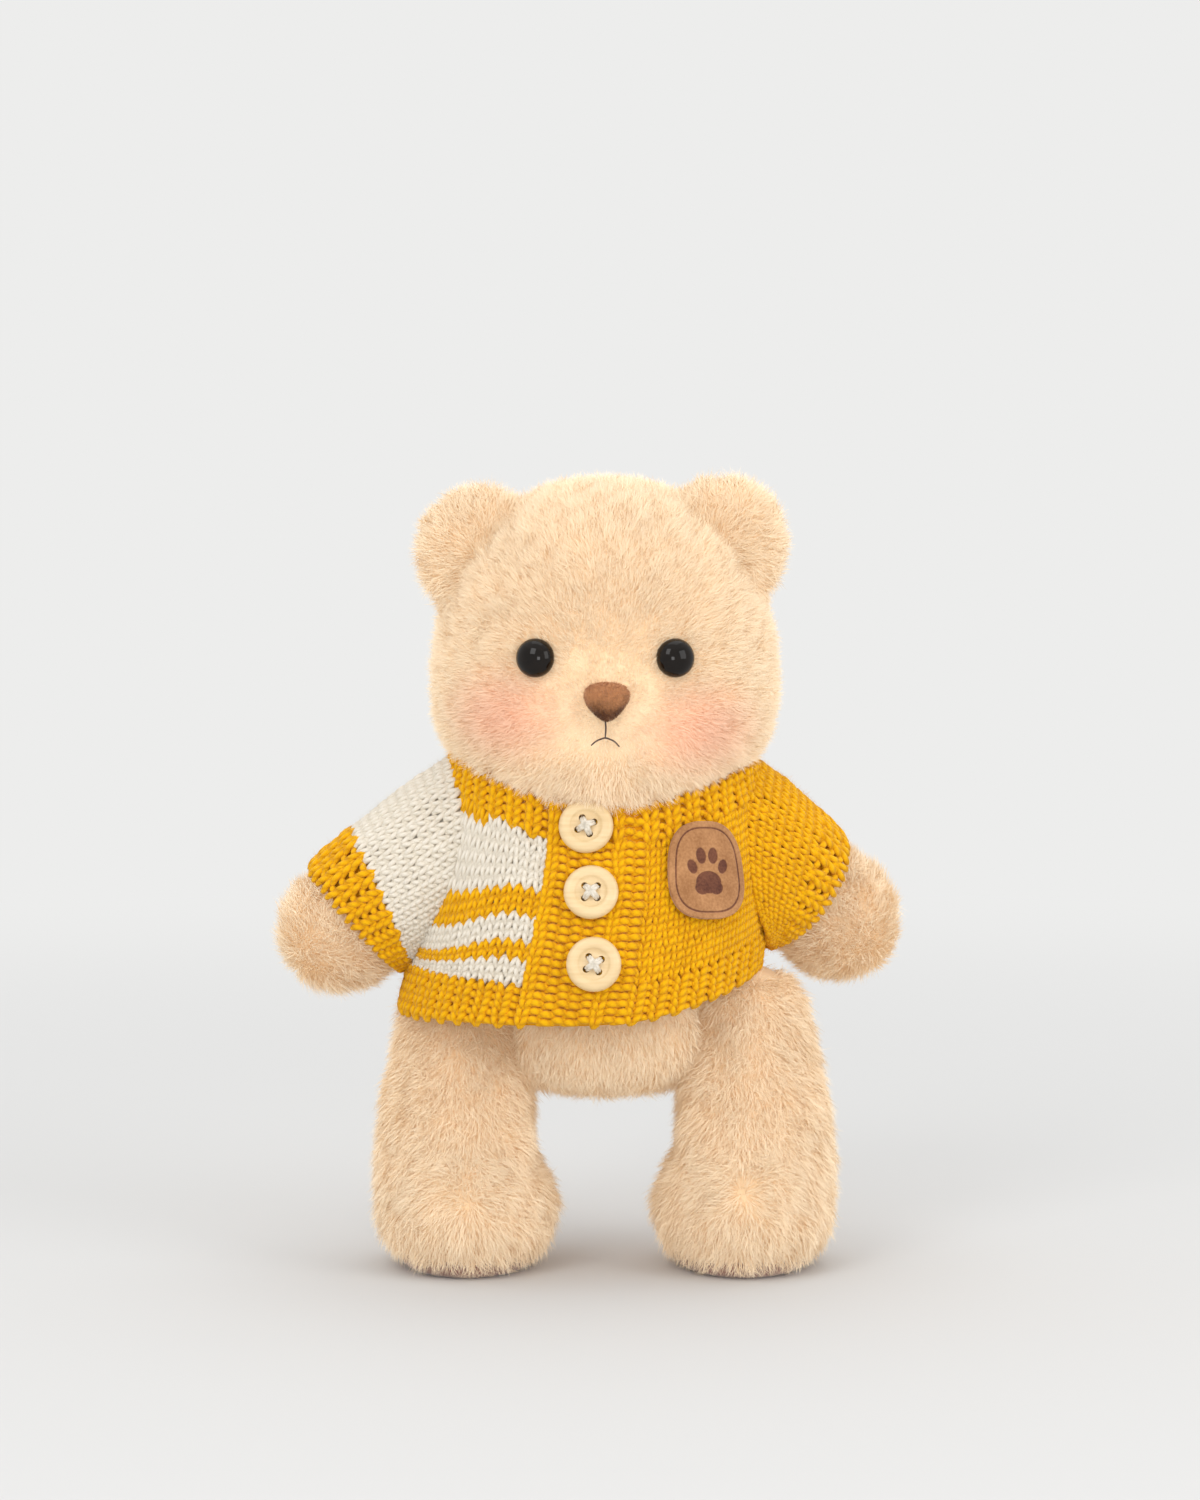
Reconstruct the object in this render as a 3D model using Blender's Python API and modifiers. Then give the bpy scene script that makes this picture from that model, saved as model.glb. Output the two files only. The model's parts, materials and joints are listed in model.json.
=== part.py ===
"""Jointed plush bear in a knitted cardigan, modelled as it comes apart on a bench.

Metres, +Z up, origin under the bear on the surface it stands on. The bear faces -Y and its own
left side is at +X. Sizes below are in millimetres and become metres when a mesh is made.
"""

import math

import bmesh
import bpy
from mathutils import Matrix, Vector

# ---------------------------------------------------------------- driving dimensions (mm)
MM = 0.001
GAP = 0.3                        # between touching pieces
SKIN = 2.0                       # plush backing with its dense underwool
STUFFING_GAP = 2.5               # between a skin and its stuffing
KNIT = 3.3                       # knitted fabric
SIDES = {"left": 1, "right": -1}
ORIGIN_SHIFT = Vector((5.0, 3.15, 0))

HEAD_CENTRE = Vector((0, -2, 218))
HEAD_RADIUS_X, HEAD_RADIUS_Y = 62, 54
HEAD_ABOVE, HEAD_BELOW = 76, 42.5
TORSO_CENTRE = Vector((0, 2, 118))
TORSO_RADIUS_X, TORSO_RADIUS_Y = 52, 45
TORSO_ABOVE, TORSO_BELOW = 66, 51
NECK_HEIGHT = 176                # plane between head and torso

SHOULDER = {"left": Vector((55, 2, 164)), "right": Vector((-55, 2, 164))}
ARM_DIRECTION = {
    "left": Vector((0.583, 0.50, -0.64)).normalized(),
    "right": Vector((-0.758, 0.0, -0.652)).normalized(),
}
ARM_RADIUS, PAW_RADIUS, ARM_LENGTH = 17.5, 19.5, 58
SHOULDER_PLANE = 40.1            # distance of the shoulder joint's plane from the middle
SLEEVE_RADIUS = 25
SLEEVE_END = {"left": 28, "right": 37}   # along the arm from the shoulder
CUFF_LENGTH = 14

HIP_HEIGHT, HIP_DEPTH, HIP_PLANE = 88, 2, 30.9
THIGH_CENTRE, THIGH_HALF_WIDTH, THIGH_RADIUS = 50, 23.5, 25
FOOT_CENTRE = Vector((52, -6, 38))
FOOT_HALF_WIDTH, FOOT_HALF_DEPTH, FOOT_HALF_HEIGHT = 30, 37, 42
PAD_THICKNESS, PAD_HALF_WIDTH, PAD_HALF_DEPTH = 2, 19, 25

EYE_RADIUS, EYE_SPACING, EYE_HEIGHT = 7, 26.3, 229.5
NOSE_WIDTH, NOSE_TALL, NOSE_HEIGHT = 18, 15, 213.4
BUTTON_RADIUS, BUTTON_THICKNESS = 10, 3.2
BUTTON_PLACES = [(-7.5, 166.0), (-5.3, 141.4), (-4.1, 114.0)]
BAND_EDGES = (-22.5, 13.0)       # button band, across the front
HEM_SHARE = 0.18                 # part of the body's height taken by the hem rib
NECKBAND_TOP = 1.17              # height measure at the neckband's upper edge
BADGE_PLACE, BADGE_WIDTH, BADGE_TALL, BADGE_THICKNESS = (35.2, 149.8), 27.0, 36, 1.8

COLOURS = {                      # sRGB colour, roughness
    "plush": ((243, 217, 178), 0.95),
    "stuffing": ((245, 245, 242), 1.0),
    "mustard_yarn": ((236, 172, 25), 0.95),
    "white_yarn": ((238, 234, 226), 0.95),
    "suede": ((150, 112, 100), 0.9),
    "badge_suede": ((200, 150, 105), 0.9),
    "eye_gloss": ((22, 16, 14), 0.05),
    "nose_flock": ((150, 95, 55), 0.95),
    "mouth_thread": ((70, 45, 35), 0.8),
    "button_wood": ((240, 220, 170), 0.4),
    "button_yarn": ((245, 243, 238), 0.9),
    "joint_plastic": ((235, 235, 230), 0.5),
}


# ---------------------------------------------------------------- scene, materials, booleans
def clear_scene():
    for obj in list(bpy.data.objects):
        bpy.data.objects.remove(obj, do_unlink=True)


def new_collection(name, parent=None):
    made = bpy.data.collections.new(name)
    (parent or bpy.context.scene.collection).children.link(made)
    return made


def linear(channel):
    """sRGB channel from 0 to 255 as a linear value."""
    c = channel / 255
    return c / 12.92 if c <= 0.04045 else ((c + 0.055) / 1.055) ** 2.4


def make_material(name):
    colour, roughness = COLOURS[name]
    made = bpy.data.materials.new(name)
    made.use_nodes = True
    shader = made.node_tree.nodes["Principled BSDF"]
    shader.inputs["Base Color"].default_value = (*map(linear, colour), 1)
    shader.inputs["Roughness"].default_value = roughness
    shader.inputs["Metallic"].default_value = 0
    return made


clear_scene()
BEAR = new_collection("jointed_teddy_bear")
CUTTERS = new_collection("cutters")
MATERIALS = {name: make_material(name) for name in COLOURS}


def add_object(name, bm, material=None, smooth=True):
    """Turns a bmesh in millimetres into an object in metres, a cutter when it has no material."""
    bmesh.ops.recalc_face_normals(bm, faces=bm.faces)
    if bm.calc_volume(signed=True) < 0:
        bmesh.ops.reverse_faces(bm, faces=bm.faces)
    bmesh.ops.scale(bm, vec=(MM, MM, MM), verts=bm.verts)
    mesh = bpy.data.meshes.new(name)
    bm.to_mesh(mesh)
    bm.free()
    obj = bpy.data.objects.new(name, mesh)
    if material is None:
        obj.hide_render = True
        obj.display_type = "WIRE"
        CUTTERS.objects.link(obj)
        return obj
    mesh.polygons.foreach_set("use_smooth", [smooth] * len(mesh.polygons))
    mesh.materials.append(MATERIALS[material])
    BEAR.objects.link(obj)
    return obj


def boolean(obj, other, operation="DIFFERENCE"):
    modifier = obj.modifiers.new(other.name, "BOOLEAN")
    modifier.operation = operation
    modifier.object = other
    modifier.solver = "EXACT"


def turned(direction, place=(0, 0, 0)):
    """Matrix that takes +Z to the direction and the origin to the place."""
    turn = Vector(direction).to_track_quat("Z", "Y").to_matrix().to_4x4()
    return Matrix.Translation(place) @ turn


# ---------------------------------------------------------------- basic shapes (mm)
def rounded(form, inset=0.0, around=28, rings=16):
    """A closed mesh: each direction of a unit sphere is placed by form(direction, inset)."""
    bm = bmesh.new()
    bmesh.ops.create_uvsphere(bm, u_segments=around, v_segments=rings, radius=1)
    for vertex in bm.verts:
        vertex.co = form(vertex.co.normalized(), inset)
    return bm


def cylinder(radius, start, end, segments=24):
    start, end = Vector(start), Vector(end)
    bm = bmesh.new()
    bmesh.ops.create_cone(
        bm, cap_ends=True, segments=segments, radius1=radius, radius2=radius,
        depth=(end - start).length, matrix=turned(end - start, (start + end) / 2),
    )
    return bm


def lathe(name, profile, material, place, direction, segments=24):
    """A turned solid: (radius, height) points from the top down, about the given direction."""
    mesh = bpy.data.meshes.new(name)
    points = [(radius * MM, 0, height * MM) for radius, height in profile]
    mesh.from_pydata(points, [(i, i + 1) for i in range(len(points) - 1)], [])
    mesh.materials.append(MATERIALS[material])
    obj = bpy.data.objects.new(name, mesh)
    obj.matrix_world = turned(direction, Vector(place) * MM)
    screw = obj.modifiers.new("turn", "SCREW")
    screw.steps = screw.render_steps = segments
    screw.use_merge_vertices = True
    screw.merge_threshold = 1e-6
    screw.use_smooth_shade = True
    BEAR.objects.link(obj)
    return obj


def washer(name, inner, outer, thickness, place, direction):
    """A ring whose lower face is at the place."""
    profile = [(inner, thickness), (outer, thickness), (outer, 0), (inner, 0), (inner, thickness)]
    return lathe(name, profile, "joint_plastic", place, direction, 12)


# ---------------------------------------------------------------- forms of the soft pieces
def bulge(direction, power):
    """How far a superellipsoid of revolution reaches along a direction, for unit radii."""
    flat = math.hypot(direction.x, direction.y)
    return (flat**power + abs(direction.z) ** power) ** (-1 / power)


def head_form(direction, inset):
    above = direction.z > 0
    reach = bulge(direction, 2.2 if above else 2.5)
    tall = (HEAD_ABOVE if above else HEAD_BELOW) - inset
    point = HEAD_CENTRE + Vector((
        direction.x * reach * (HEAD_RADIUS_X - inset),
        direction.y * reach * (HEAD_RADIUS_Y - inset),
        direction.z * reach * tall,
    ))
    point.z = max(point.z, NECK_HEIGHT + GAP + inset)
    return point


def torso_half_width(height):
    """Room left between the arms and between the thighs."""
    under_arms = SHOULDER_PLANE - 0.2 + 1.163 * max(0, 142 - height)
    over_thighs = HIP_PLANE - 0.2 + 1.2 * max(0, height - 125)
    return min(under_arms, over_thighs)


def torso_form(direction, inset):
    above = direction.z > 0
    reach = bulge(direction, 4.5 if above else 2.6)
    tall = (TORSO_ABOVE if above else TORSO_BELOW) - inset
    point = TORSO_CENTRE + Vector((
        direction.x * reach * (TORSO_RADIUS_X - inset),
        direction.y * reach * (TORSO_RADIUS_Y - inset),
        direction.z * reach * tall,
    ))
    point.z = min(point.z, NECK_HEIGHT - GAP / 2 - inset)
    limit = torso_half_width(point.z) - inset
    point.x = max(-limit, min(limit, point.x))
    return point


def arm_form(side):
    """Stubby arm: a round shoulder end, a straight upper arm and a round paw."""
    start, along = SHOULDER[side], ARM_DIRECTION[side]
    across = along.cross(Vector((0, 1, 0))).normalized()
    third = along.cross(across)

    def form(direction, inset):
        flat = math.hypot(direction.x, direction.y)
        shoulder = direction.z >= 0
        radius = (ARM_RADIUS if shoulder else PAW_RADIUS) - inset
        distance = -radius * direction.z + (0 if shoulder else ARM_LENGTH)
        point = start + along * distance
        if flat > 1e-6:
            point += (across * direction.x + third * direction.y) * radius
        plane = SHOULDER_PLANE + GAP / 2 + inset
        point.x = SIDES[side] * max(plane, SIDES[side] * point.x)
        return point

    return form


def leg_form(side):
    """Stubby leg: a round thigh that widens to a big foot, flat at the hip and under the sole."""
    def form(direction, inset):
        if direction.z > -0.01:
            x = THIGH_CENTRE + direction.x * (THIGH_HALF_WIDTH - inset)
            y = HIP_DEPTH + direction.y * (THIGH_RADIUS - inset)
            z = HIP_HEIGHT + direction.z * (THIGH_RADIUS - inset)
        else:
            below = math.asin(-direction.z) / (math.pi / 2)
            turn = math.radians(-40 + 130 * below)
            flat = math.hypot(direction.x, direction.y) or 1
            girth = math.cos(turn) if below < 0.999 else 0
            x = FOOT_CENTRE.x + direction.x / flat * girth * (FOOT_HALF_WIDTH - inset)
            y = FOOT_CENTRE.y + direction.y / flat * girth * (FOOT_HALF_DEPTH - inset)
            z = FOOT_CENTRE.z - math.sin(turn) * (FOOT_HALF_HEIGHT - inset)
        z = max(z, PAD_THICKNESS + GAP + inset)
        x = max(x, HIP_PLANE + GAP / 2 + inset - 0.6 * max(0, 42 - z))
        return Vector((SIDES[side] * x, y, z))

    return form


def head_surface(x, z):
    """Front point of the head's skin at a place across and up, and the outward direction there."""
    def depth(x, z):
        drop = HEAD_CENTRE.z - z
        power = 2.2 if drop < 0 else 2.5
        tall = HEAD_ABOVE if drop < 0 else HEAD_BELOW
        share = (1 - abs(drop / tall) ** power) ** (1 / power)
        side = x / (HEAD_RADIUS_X * share)
        return HEAD_CENTRE.y - HEAD_RADIUS_Y * share * math.sqrt(1 - side**2)

    y = depth(x, z)
    slope_x = (depth(x + 0.5, z) - depth(x - 0.5, z))
    slope_z = (depth(x, z + 0.5) - depth(x, z - 0.5))
    return Vector((x, y, z)), Vector((slope_x, -1, slope_z)).normalized()


# ---------------------------------------------------------------- plush pieces with stuffing
def plush(name, form, holes, pockets, material="plush", around=18, rings=10):
    """A skin with holes for stems, and the stuffing inside it with pockets for the fittings."""
    skin = add_object(f"{name}_skin", rounded(form, 0, around, rings), material)
    boolean(skin, add_object(f"{name}_lining", rounded(form, SKIN, around, rings)))
    for number, hole in enumerate(holes):
        boolean(skin, add_object(f"{name}_hole_{number}", cylinder(*hole)))
    fill = rounded(form, SKIN + STUFFING_GAP, around, rings)
    stuffing = add_object(f"{name}_stuffing", fill, "stuffing")
    for number, pocket in enumerate(pockets):
        boolean(stuffing, add_object(f"{name}_pocket_{number}", cylinder(*pocket)))
    return [skin, stuffing]


def rename(objects, names):
    for obj, name in zip(objects, names, strict=True):
        obj.name = name


# A doll joint: a disc and stem in the moving part, a backing disc and a lock washer in the torso.
STEM_RADIUS, STEM_HOLE = 2.5, 3.0
DISC_THICKNESS, BACKING_THICKNESS, LOCK_THICKNESS = 2.0, 2.0, 1.2
POCKET_DEPTH = 9.0


def doll_joint(name, suffix, place, outward, disc_radius):
    """Place is the middle of the joint's plane, and outward points into the moving part."""
    inner = SKIN + 2 * GAP
    stem_end = -(SKIN + 2 * GAP + BACKING_THICKNESS + LOCK_THICKNESS + 2 * GAP + 1.2)
    top = inner + DISC_THICKNESS
    profile = [(0, top), (disc_radius, top), (disc_radius, inner), (STEM_RADIUS, inner),
               (STEM_RADIUS, stem_end), (0, stem_end)]
    disc = lathe(f"{name}_joint_disc{suffix}", profile, "joint_plastic", place, outward, 16)
    start = Vector(place) - Vector(outward) * (SKIN + 3 * GAP)
    backing = washer(f"{name}_backing_disc{suffix}", STEM_RADIUS + GAP, disc_radius,
                     BACKING_THICKNESS, start, -Vector(outward))
    start -= Vector(outward) * (BACKING_THICKNESS + GAP)
    lock = washer(f"{name}_lock_washer{suffix}", STEM_RADIUS + GAP / 2,
                  (STEM_RADIUS + disc_radius) / 2 + 0.4, LOCK_THICKNESS, start, -Vector(outward))
    return [disc], [backing, lock]


NECK = Vector((0, 0, NECK_HEIGHT))
UP, ACROSS = Vector((0, 0, 1)), Vector((1, 0, 0))
NECK_DISC, SHOULDER_DISC, HIP_DISC = 11.5, 4.5, 10.5
SHOULDER_JOINT = {side: Vector((sign * SHOULDER_PLANE, 2, 164)) for side, sign in SIDES.items()}
HIP_JOINT = {
    side: Vector((sign * HIP_PLANE, HIP_DEPTH, HIP_HEIGHT)) for side, sign in SIDES.items()
}
NODES = {"torso": [], "head": [], "arm_left": [], "arm_right": [], "leg_left": [], "leg_right": []}


def through(place, outward):
    """A stem's hole through the skins on both sides of a joint."""
    return STEM_HOLE, place - outward * 6, place + outward * 6


def pocket(place, outward, radius):
    """Room in the stuffing for a joint's disc, from the joint's plane inwards."""
    return radius + 0.8, place - outward, place + outward * POCKET_DEPTH


def make_torso():
    joints = [(NECK, UP, NECK_DISC)]
    for side, sign in SIDES.items():
        joints.append((SHOULDER_JOINT[side], ACROSS * sign, SHOULDER_DISC))
        joints.append((HIP_JOINT[side], ACROSS * sign, HIP_DISC))
    holes = [through(place, outward) for place, outward, _ in joints]
    pockets = [pocket(place, -outward, radius) for place, outward, radius in joints]
    NODES["torso"] += plush("torso", torso_form, holes, pockets, around=24, rings=14)


def safety_fitting(place, outward):
    """A safety eye's or nose's stem hole through the skin, and the pocket behind it."""
    return (2.3, place - outward * 8, place + outward * 8), (7.6, place - outward * 14, place)


def face_fittings():
    """(name, place on the skin, outward direction) of the eyes and the nose."""
    found = []
    for side, sign in SIDES.items():
        found.append((f"eye_{side}", *head_surface(sign * EYE_SPACING, EYE_HEIGHT)))
    found.append(("nose", *head_surface(0, NOSE_HEIGHT)))
    return found


def make_eye(name, place, outward):
    """Domed safety eye on a ribless stem."""
    dome = [
        (EYE_RADIUS * math.sin(math.radians(a)), 6.2 * math.cos(math.radians(a)) + 1.0)
        for a in range(0, 91, 18)
    ]
    profile = [*dome, (EYE_RADIUS - 0.6, GAP), (2, GAP), (2, -10), (0, -10)]
    return lathe(name, profile, "eye_gloss", place, outward, 20)


def make_nose(name, place, outward):
    """Flocked nose: a rounded triangle, wide above and narrow below, on a stem."""
    def form(direction, _inset):
        taper = 0.72 + 0.34 * direction.y
        return Vector((
            direction.x * NOSE_WIDTH / 2 * taper * 1.05,
            direction.y * NOSE_TALL / 2,
            max(direction.z * 6.0 + 1.2, GAP),
        ))

    nose = rounded(form, 0, 18, 10)
    bmesh.ops.transform(nose, matrix=turned(outward, place), verts=nose.verts)
    made = add_object(name, nose, "nose_flock")
    stem = add_object("nose_stem", cylinder(2, place - outward * 10, place + outward * 2))
    boolean(made, stem, "UNION")
    return made


def make_stitch(name, points):
    """A thread lying just off the head's skin, through (across, up) points."""
    curve = bpy.data.curves.new(name, "CURVE")
    curve.dimensions = "3D"
    curve.bevel_depth = 0.45 * MM
    curve.bevel_resolution = 2
    curve.use_fill_caps = True
    line = curve.splines.new("POLY")
    line.points.add(len(points) - 1)
    for point, (x, z) in zip(line.points, points, strict=True):
        place, outward = head_surface(x, z)
        point.co = (*((place + outward * (0.45 + GAP)) * MM), 1)
    curve.materials.append(MATERIALS["mouth_thread"])
    obj = bpy.data.objects.new(name, curve)
    BEAR.objects.link(obj)
    return obj


def make_head():
    fittings = face_fittings()
    holes = [through(NECK, UP)]
    pockets = [pocket(NECK, UP, NECK_DISC)]
    for _, place, outward in fittings:
        hole, room = safety_fitting(place, outward)
        holes.append(hole)
        pockets.append(room)
    nodes = plush("head", head_form, holes, pockets, around=24, rings=14)
    for name, place, outward in fittings:
        maker = make_nose if name == "nose" else make_eye
        nodes.append(maker(name, place, outward))
        ring_name = "nose_washer" if name == "nose" else name.replace("eye", "eye_washer")
        start = place - outward * (SKIN + 2 * GAP + 2.7)
        nodes.append(washer(ring_name, 2 + GAP / 2, 6.5, 1.2, start, outward))
    nodes.append(make_stitch("mouth_stitch_upper", [(0, 205.4), (0, 202.0), (0, 197.9)]))
    nodes.append(make_stitch(
        "mouth_stitch_lower",
        [(-6.3, 194.4), (-3.6, 195.4), (-1.5, 196.5), (0, 196.8), (1.5, 196.5), (3.6, 195.4),
         (6.3, 194.4)],
    ))
    NODES["head"] += nodes


def make_ears():
    """Thick round ears, cut to sit on the head."""
    outer = add_object("head_outside", rounded(head_form, -2 * GAP, 24, 14))
    for side, sign in SIDES.items():
        lean = Matrix.Rotation(sign * math.radians(28), 4, "Y")
        centre = Vector((sign * 47, 3, 270))

        def form(direction, _inset, lean=lean, centre=centre):
            size = Vector((direction.x * 21, direction.y * 8.5, direction.z * 25))
            return centre + lean @ size

        ear = add_object(f"ear_{side}", rounded(form, 0, 18, 11), "plush")
        boolean(ear, outer)
        NODES["head"].append(ear)


def make_limbs():
    for side, sign in SIDES.items():
        outward = ACROSS * sign
        for limb, form, place, radius in (
            ("arm", arm_form(side), SHOULDER_JOINT[side], SHOULDER_DISC),
            ("leg", leg_form(side), HIP_JOINT[side], HIP_DISC),
        ):
            body = f"{limb}_{side}"
            nodes = plush(body, form, [through(place, outward)], [pocket(place, outward, radius)])
            rename(nodes, [f"{limb}_skin_{side}", f"{limb}_stuffing_{side}"])
            NODES[body] += nodes


def make_foot_pads():
    """Suede soles, flat on the ground."""
    for side, sign in SIDES.items():
        bm = bmesh.new()
        bmesh.ops.create_cone(bm, cap_ends=True, segments=40, radius1=1, radius2=1,
                              depth=PAD_THICKNESS)
        bmesh.ops.scale(bm, vec=(PAD_HALF_WIDTH, PAD_HALF_DEPTH, 1), verts=bm.verts)
        centre = (sign * (FOOT_CENTRE.x - 1), FOOT_CENTRE.y, PAD_THICKNESS / 2)
        bmesh.ops.translate(bm, vec=centre, verts=bm.verts)
        NODES[f"leg_{side}"].append(add_object(f"foot_pad_{side}", bm, "suede", smooth=False))


def make_joints():
    moving, fixed = doll_joint("neck", "", NECK, UP, NECK_DISC)
    NODES["head"] += moving
    NODES["torso"] += fixed
    for side, sign in SIDES.items():
        for joint, limb, place, radius in (
            ("shoulder", "arm", SHOULDER_JOINT[side], SHOULDER_DISC),
            ("hip", "leg", HIP_JOINT[side], HIP_DISC),
        ):
            moving, fixed = doll_joint(joint, f"_{side}", place, ACROSS * sign, radius)
            NODES[f"{limb}_{side}"] += moving
            NODES["torso"] += fixed


# ---------------------------------------------------------------- cardigan
# The height measure runs from 0 at the hem to 1 under the neckband and on to NECKBAND_TOP.
MEASURES = (-0.05, 0.0, 0.3, 0.7, 1.0, NECKBAND_TOP)
HALF_WIDTHS = (66, 66, 64, 60.5, 57.5, 56.6)
HALF_DEPTHS = (58, 58, 57, 53, 46.5, 45.0)
NECKBAND_STRETCH = 62            # height of one unit of the measure above 1


def between(values, measure):
    for i in range(len(MEASURES) - 1):
        if measure <= MEASURES[i + 1] or i == len(MEASURES) - 2:
            share = (measure - MEASURES[i]) / (MEASURES[i + 1] - MEASURES[i])
            return values[i] + share * (values[i + 1] - values[i])


def cardigan_point(angle, measure, offset=0.0):
    """Outer face of the cardigan. Angle 0 is the middle of the front, 90 degrees the bear's left."""
    side, front = math.sin(angle), math.cos(angle)
    low = 98 + 16 * max(0, side) ** 2
    high = 161 + 20 * side**2 if front > 0 else 172 + 9 * side**2
    if measure <= 1:
        height = low + measure * (high - low)
    else:
        height = high + (measure - 1) * NECKBAND_STRETCH
    shift = -9 * max(0, 1 - measure) ** 1.5
    x = shift + side * (between(HALF_WIDTHS, measure) + offset)
    y = -front * (between(HALF_DEPTHS, measure) + offset)
    return Vector((x, y, height))


def cardigan_angle(x, measure):
    """Angle on the front at which the cardigan is this far across."""
    shift = -9 * max(0, 1 - measure) ** 1.5
    return math.asin((x - shift) / between(HALF_WIDTHS, measure))


def cardigan_front(x, height):
    """Point of the front at a place across and up, and the outward direction there."""
    def at(x, height):
        measure = 0.5
        for _ in range(8):
            angle = cardigan_angle(x, measure)
            error = height - cardigan_point(angle, measure).z
            measure += error / 63
        return cardigan_point(cardigan_angle(x, measure), measure)

    place = at(x, height)
    across = at(x + 1, height) - at(x - 1, height)
    up = at(x, height + 1) - at(x, height - 1)
    return place, up.cross(across).normalized() * -1


def cardigan_panel(name, edges, measures, material, columns, rows):
    """Knitted panel between two edges, each a function from the measure to an angle."""
    bm = bmesh.new()
    grid = []
    for row in range(rows + 1):
        measure = measures[0] + (measures[1] - measures[0]) * row / rows
        first, last = edges[0](measure), edges[1](measure)
        angles = [first + (last - first) * column / columns for column in range(columns + 1)]
        grid.append([bm.verts.new(cardigan_point(angle, measure)) for angle in angles])
    for low, high in zip(grid, grid[1:]):
        for i in range(columns):
            bm.faces.new((low[i], low[i + 1], high[i + 1], high[i]))
    panel = add_object(name, bm, material)
    thick = panel.modifiers.new("knit", "SOLIDIFY")
    thick.thickness = KNIT * MM
    thick.offset = -1
    return panel


def outward_panel(panel):
    """Turns a panel's faces away from the bear's middle."""
    mesh = panel.data
    face = mesh.polygons[len(mesh.polygons) // 2]
    if face.normal.dot(Vector((face.center.x, face.center.y, 0))) < 0:
        mesh.flip_normals()


def cardigan_volume(name, offset):
    """Everything inside the cardigan's outer face, as a closed cutter."""
    bm = bmesh.new()
    rows, columns = 14, 48
    grid = []
    for row in range(rows + 1):
        measure = -0.05 + (NECKBAND_TOP + 0.05) * row / rows
        grid.append([
            bm.verts.new(cardigan_point(2 * math.pi * i / columns, measure, offset))
            for i in range(columns)
        ])
    for low, high in zip(grid, grid[1:]):
        for i in range(columns):
            j = (i + 1) % columns
            bm.faces.new((low[i], low[j], high[j], high[i]))
    for ring in (grid[0], grid[-1]):
        middle = bm.verts.new(sum((v.co for v in ring), Vector()) / columns)
        for i in range(columns):
            bm.faces.new((ring[i], ring[(i + 1) % columns], middle))
    return add_object(name, bm)


def along_arm(side, distance):
    return SHOULDER[side] + ARM_DIRECTION[side] * distance


def make_sleeve(side, volume):
    """Sleeve tube from the armhole to the cuff, and the ribbed cuff."""
    yarn = "mustard_yarn" if side == "left" else "white_yarn"
    end = SLEEVE_END[side]
    inner = add_object(
        f"sleeve_inside_{side}",
        cylinder(SLEEVE_RADIUS - KNIT, along_arm(side, -30), along_arm(side, 80), 24),
    )
    spans = (("sleeve", yarn, -12, end, 0), ("cuff", "mustard_yarn", end + GAP, end + CUFF_LENGTH, 0.4))
    for name, material, first, last, extra in spans:
        tube = cylinder(SLEEVE_RADIUS + extra, along_arm(side, first), along_arm(side, last), 24)
        obj = add_object(f"{name}_{side}", tube, material)
        boolean(obj, inner)
        if name == "sleeve":
            boolean(obj, volume)
        NODES[f"arm_{side}"].append(obj)


def make_cardigan():
    turn = math.radians
    seam = 0.45 / 60             # half a seam's gap, as an angle at the cardigan's radius
    hem_top = HEM_SHARE
    low_gap, high_gap = hem_top + 0.005, 1 - 0.005
    band_right = lambda measure: cardigan_angle(BAND_EDGES[0], measure)
    band_left = lambda measure: cardigan_angle(BAND_EDGES[1], measure)
    panels = [
        cardigan_panel(
            "cardigan_front_right",
            (lambda m: turn(-90) + seam, lambda m: band_right(m) - seam),
            (low_gap, high_gap), "white_yarn", 9, 7),
        cardigan_panel(
            "cardigan_front_left",
            (lambda m: band_left(m) + seam, lambda m: turn(90) - seam),
            (low_gap, high_gap), "mustard_yarn", 9, 7),
        cardigan_panel(
            "cardigan_back",
            (lambda m: turn(90) + seam, lambda m: turn(270) - seam),
            (low_gap, high_gap), "mustard_yarn", 20, 7),
    ]
    trims = [
        cardigan_panel(
            "button_band", (lambda m: band_right(m) + seam, lambda m: band_left(m) - seam),
            (0, NECKBAND_TOP), "mustard_yarn", 4, 10),
        cardigan_panel(
            "hem_rib",
            (lambda m: band_left(m) + seam, lambda m: band_right(m) - seam + turn(360)),
            (0, hem_top), "mustard_yarn", 34, 2),
        cardigan_panel(
            "neckband",
            (lambda m: band_left(m) + seam, lambda m: band_right(m) - seam + turn(360)),
            (1 + 0.002, NECKBAND_TOP), "mustard_yarn", 34, 2),
    ]
    for panel in panels + trims:
        outward_panel(panel)
    volume = cardigan_volume("cardigan_volume", GAP)
    for side in SIDES:
        around_sleeve = add_object(
            f"armhole_{side}",
            cylinder(SLEEVE_RADIUS + 0.9, along_arm(side, -24), along_arm(side, 60), 24))
        around_arm = add_object(
            f"arm_room_{side}", rounded(arm_form(side), -2 * GAP, 18, 10))
        for panel in panels:
            boolean(panel, around_sleeve)
            boolean(panel, around_arm)
        boolean(trims[2], around_arm)
        make_sleeve(side, volume)
    NODES["torso"] += panels + trims


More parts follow.
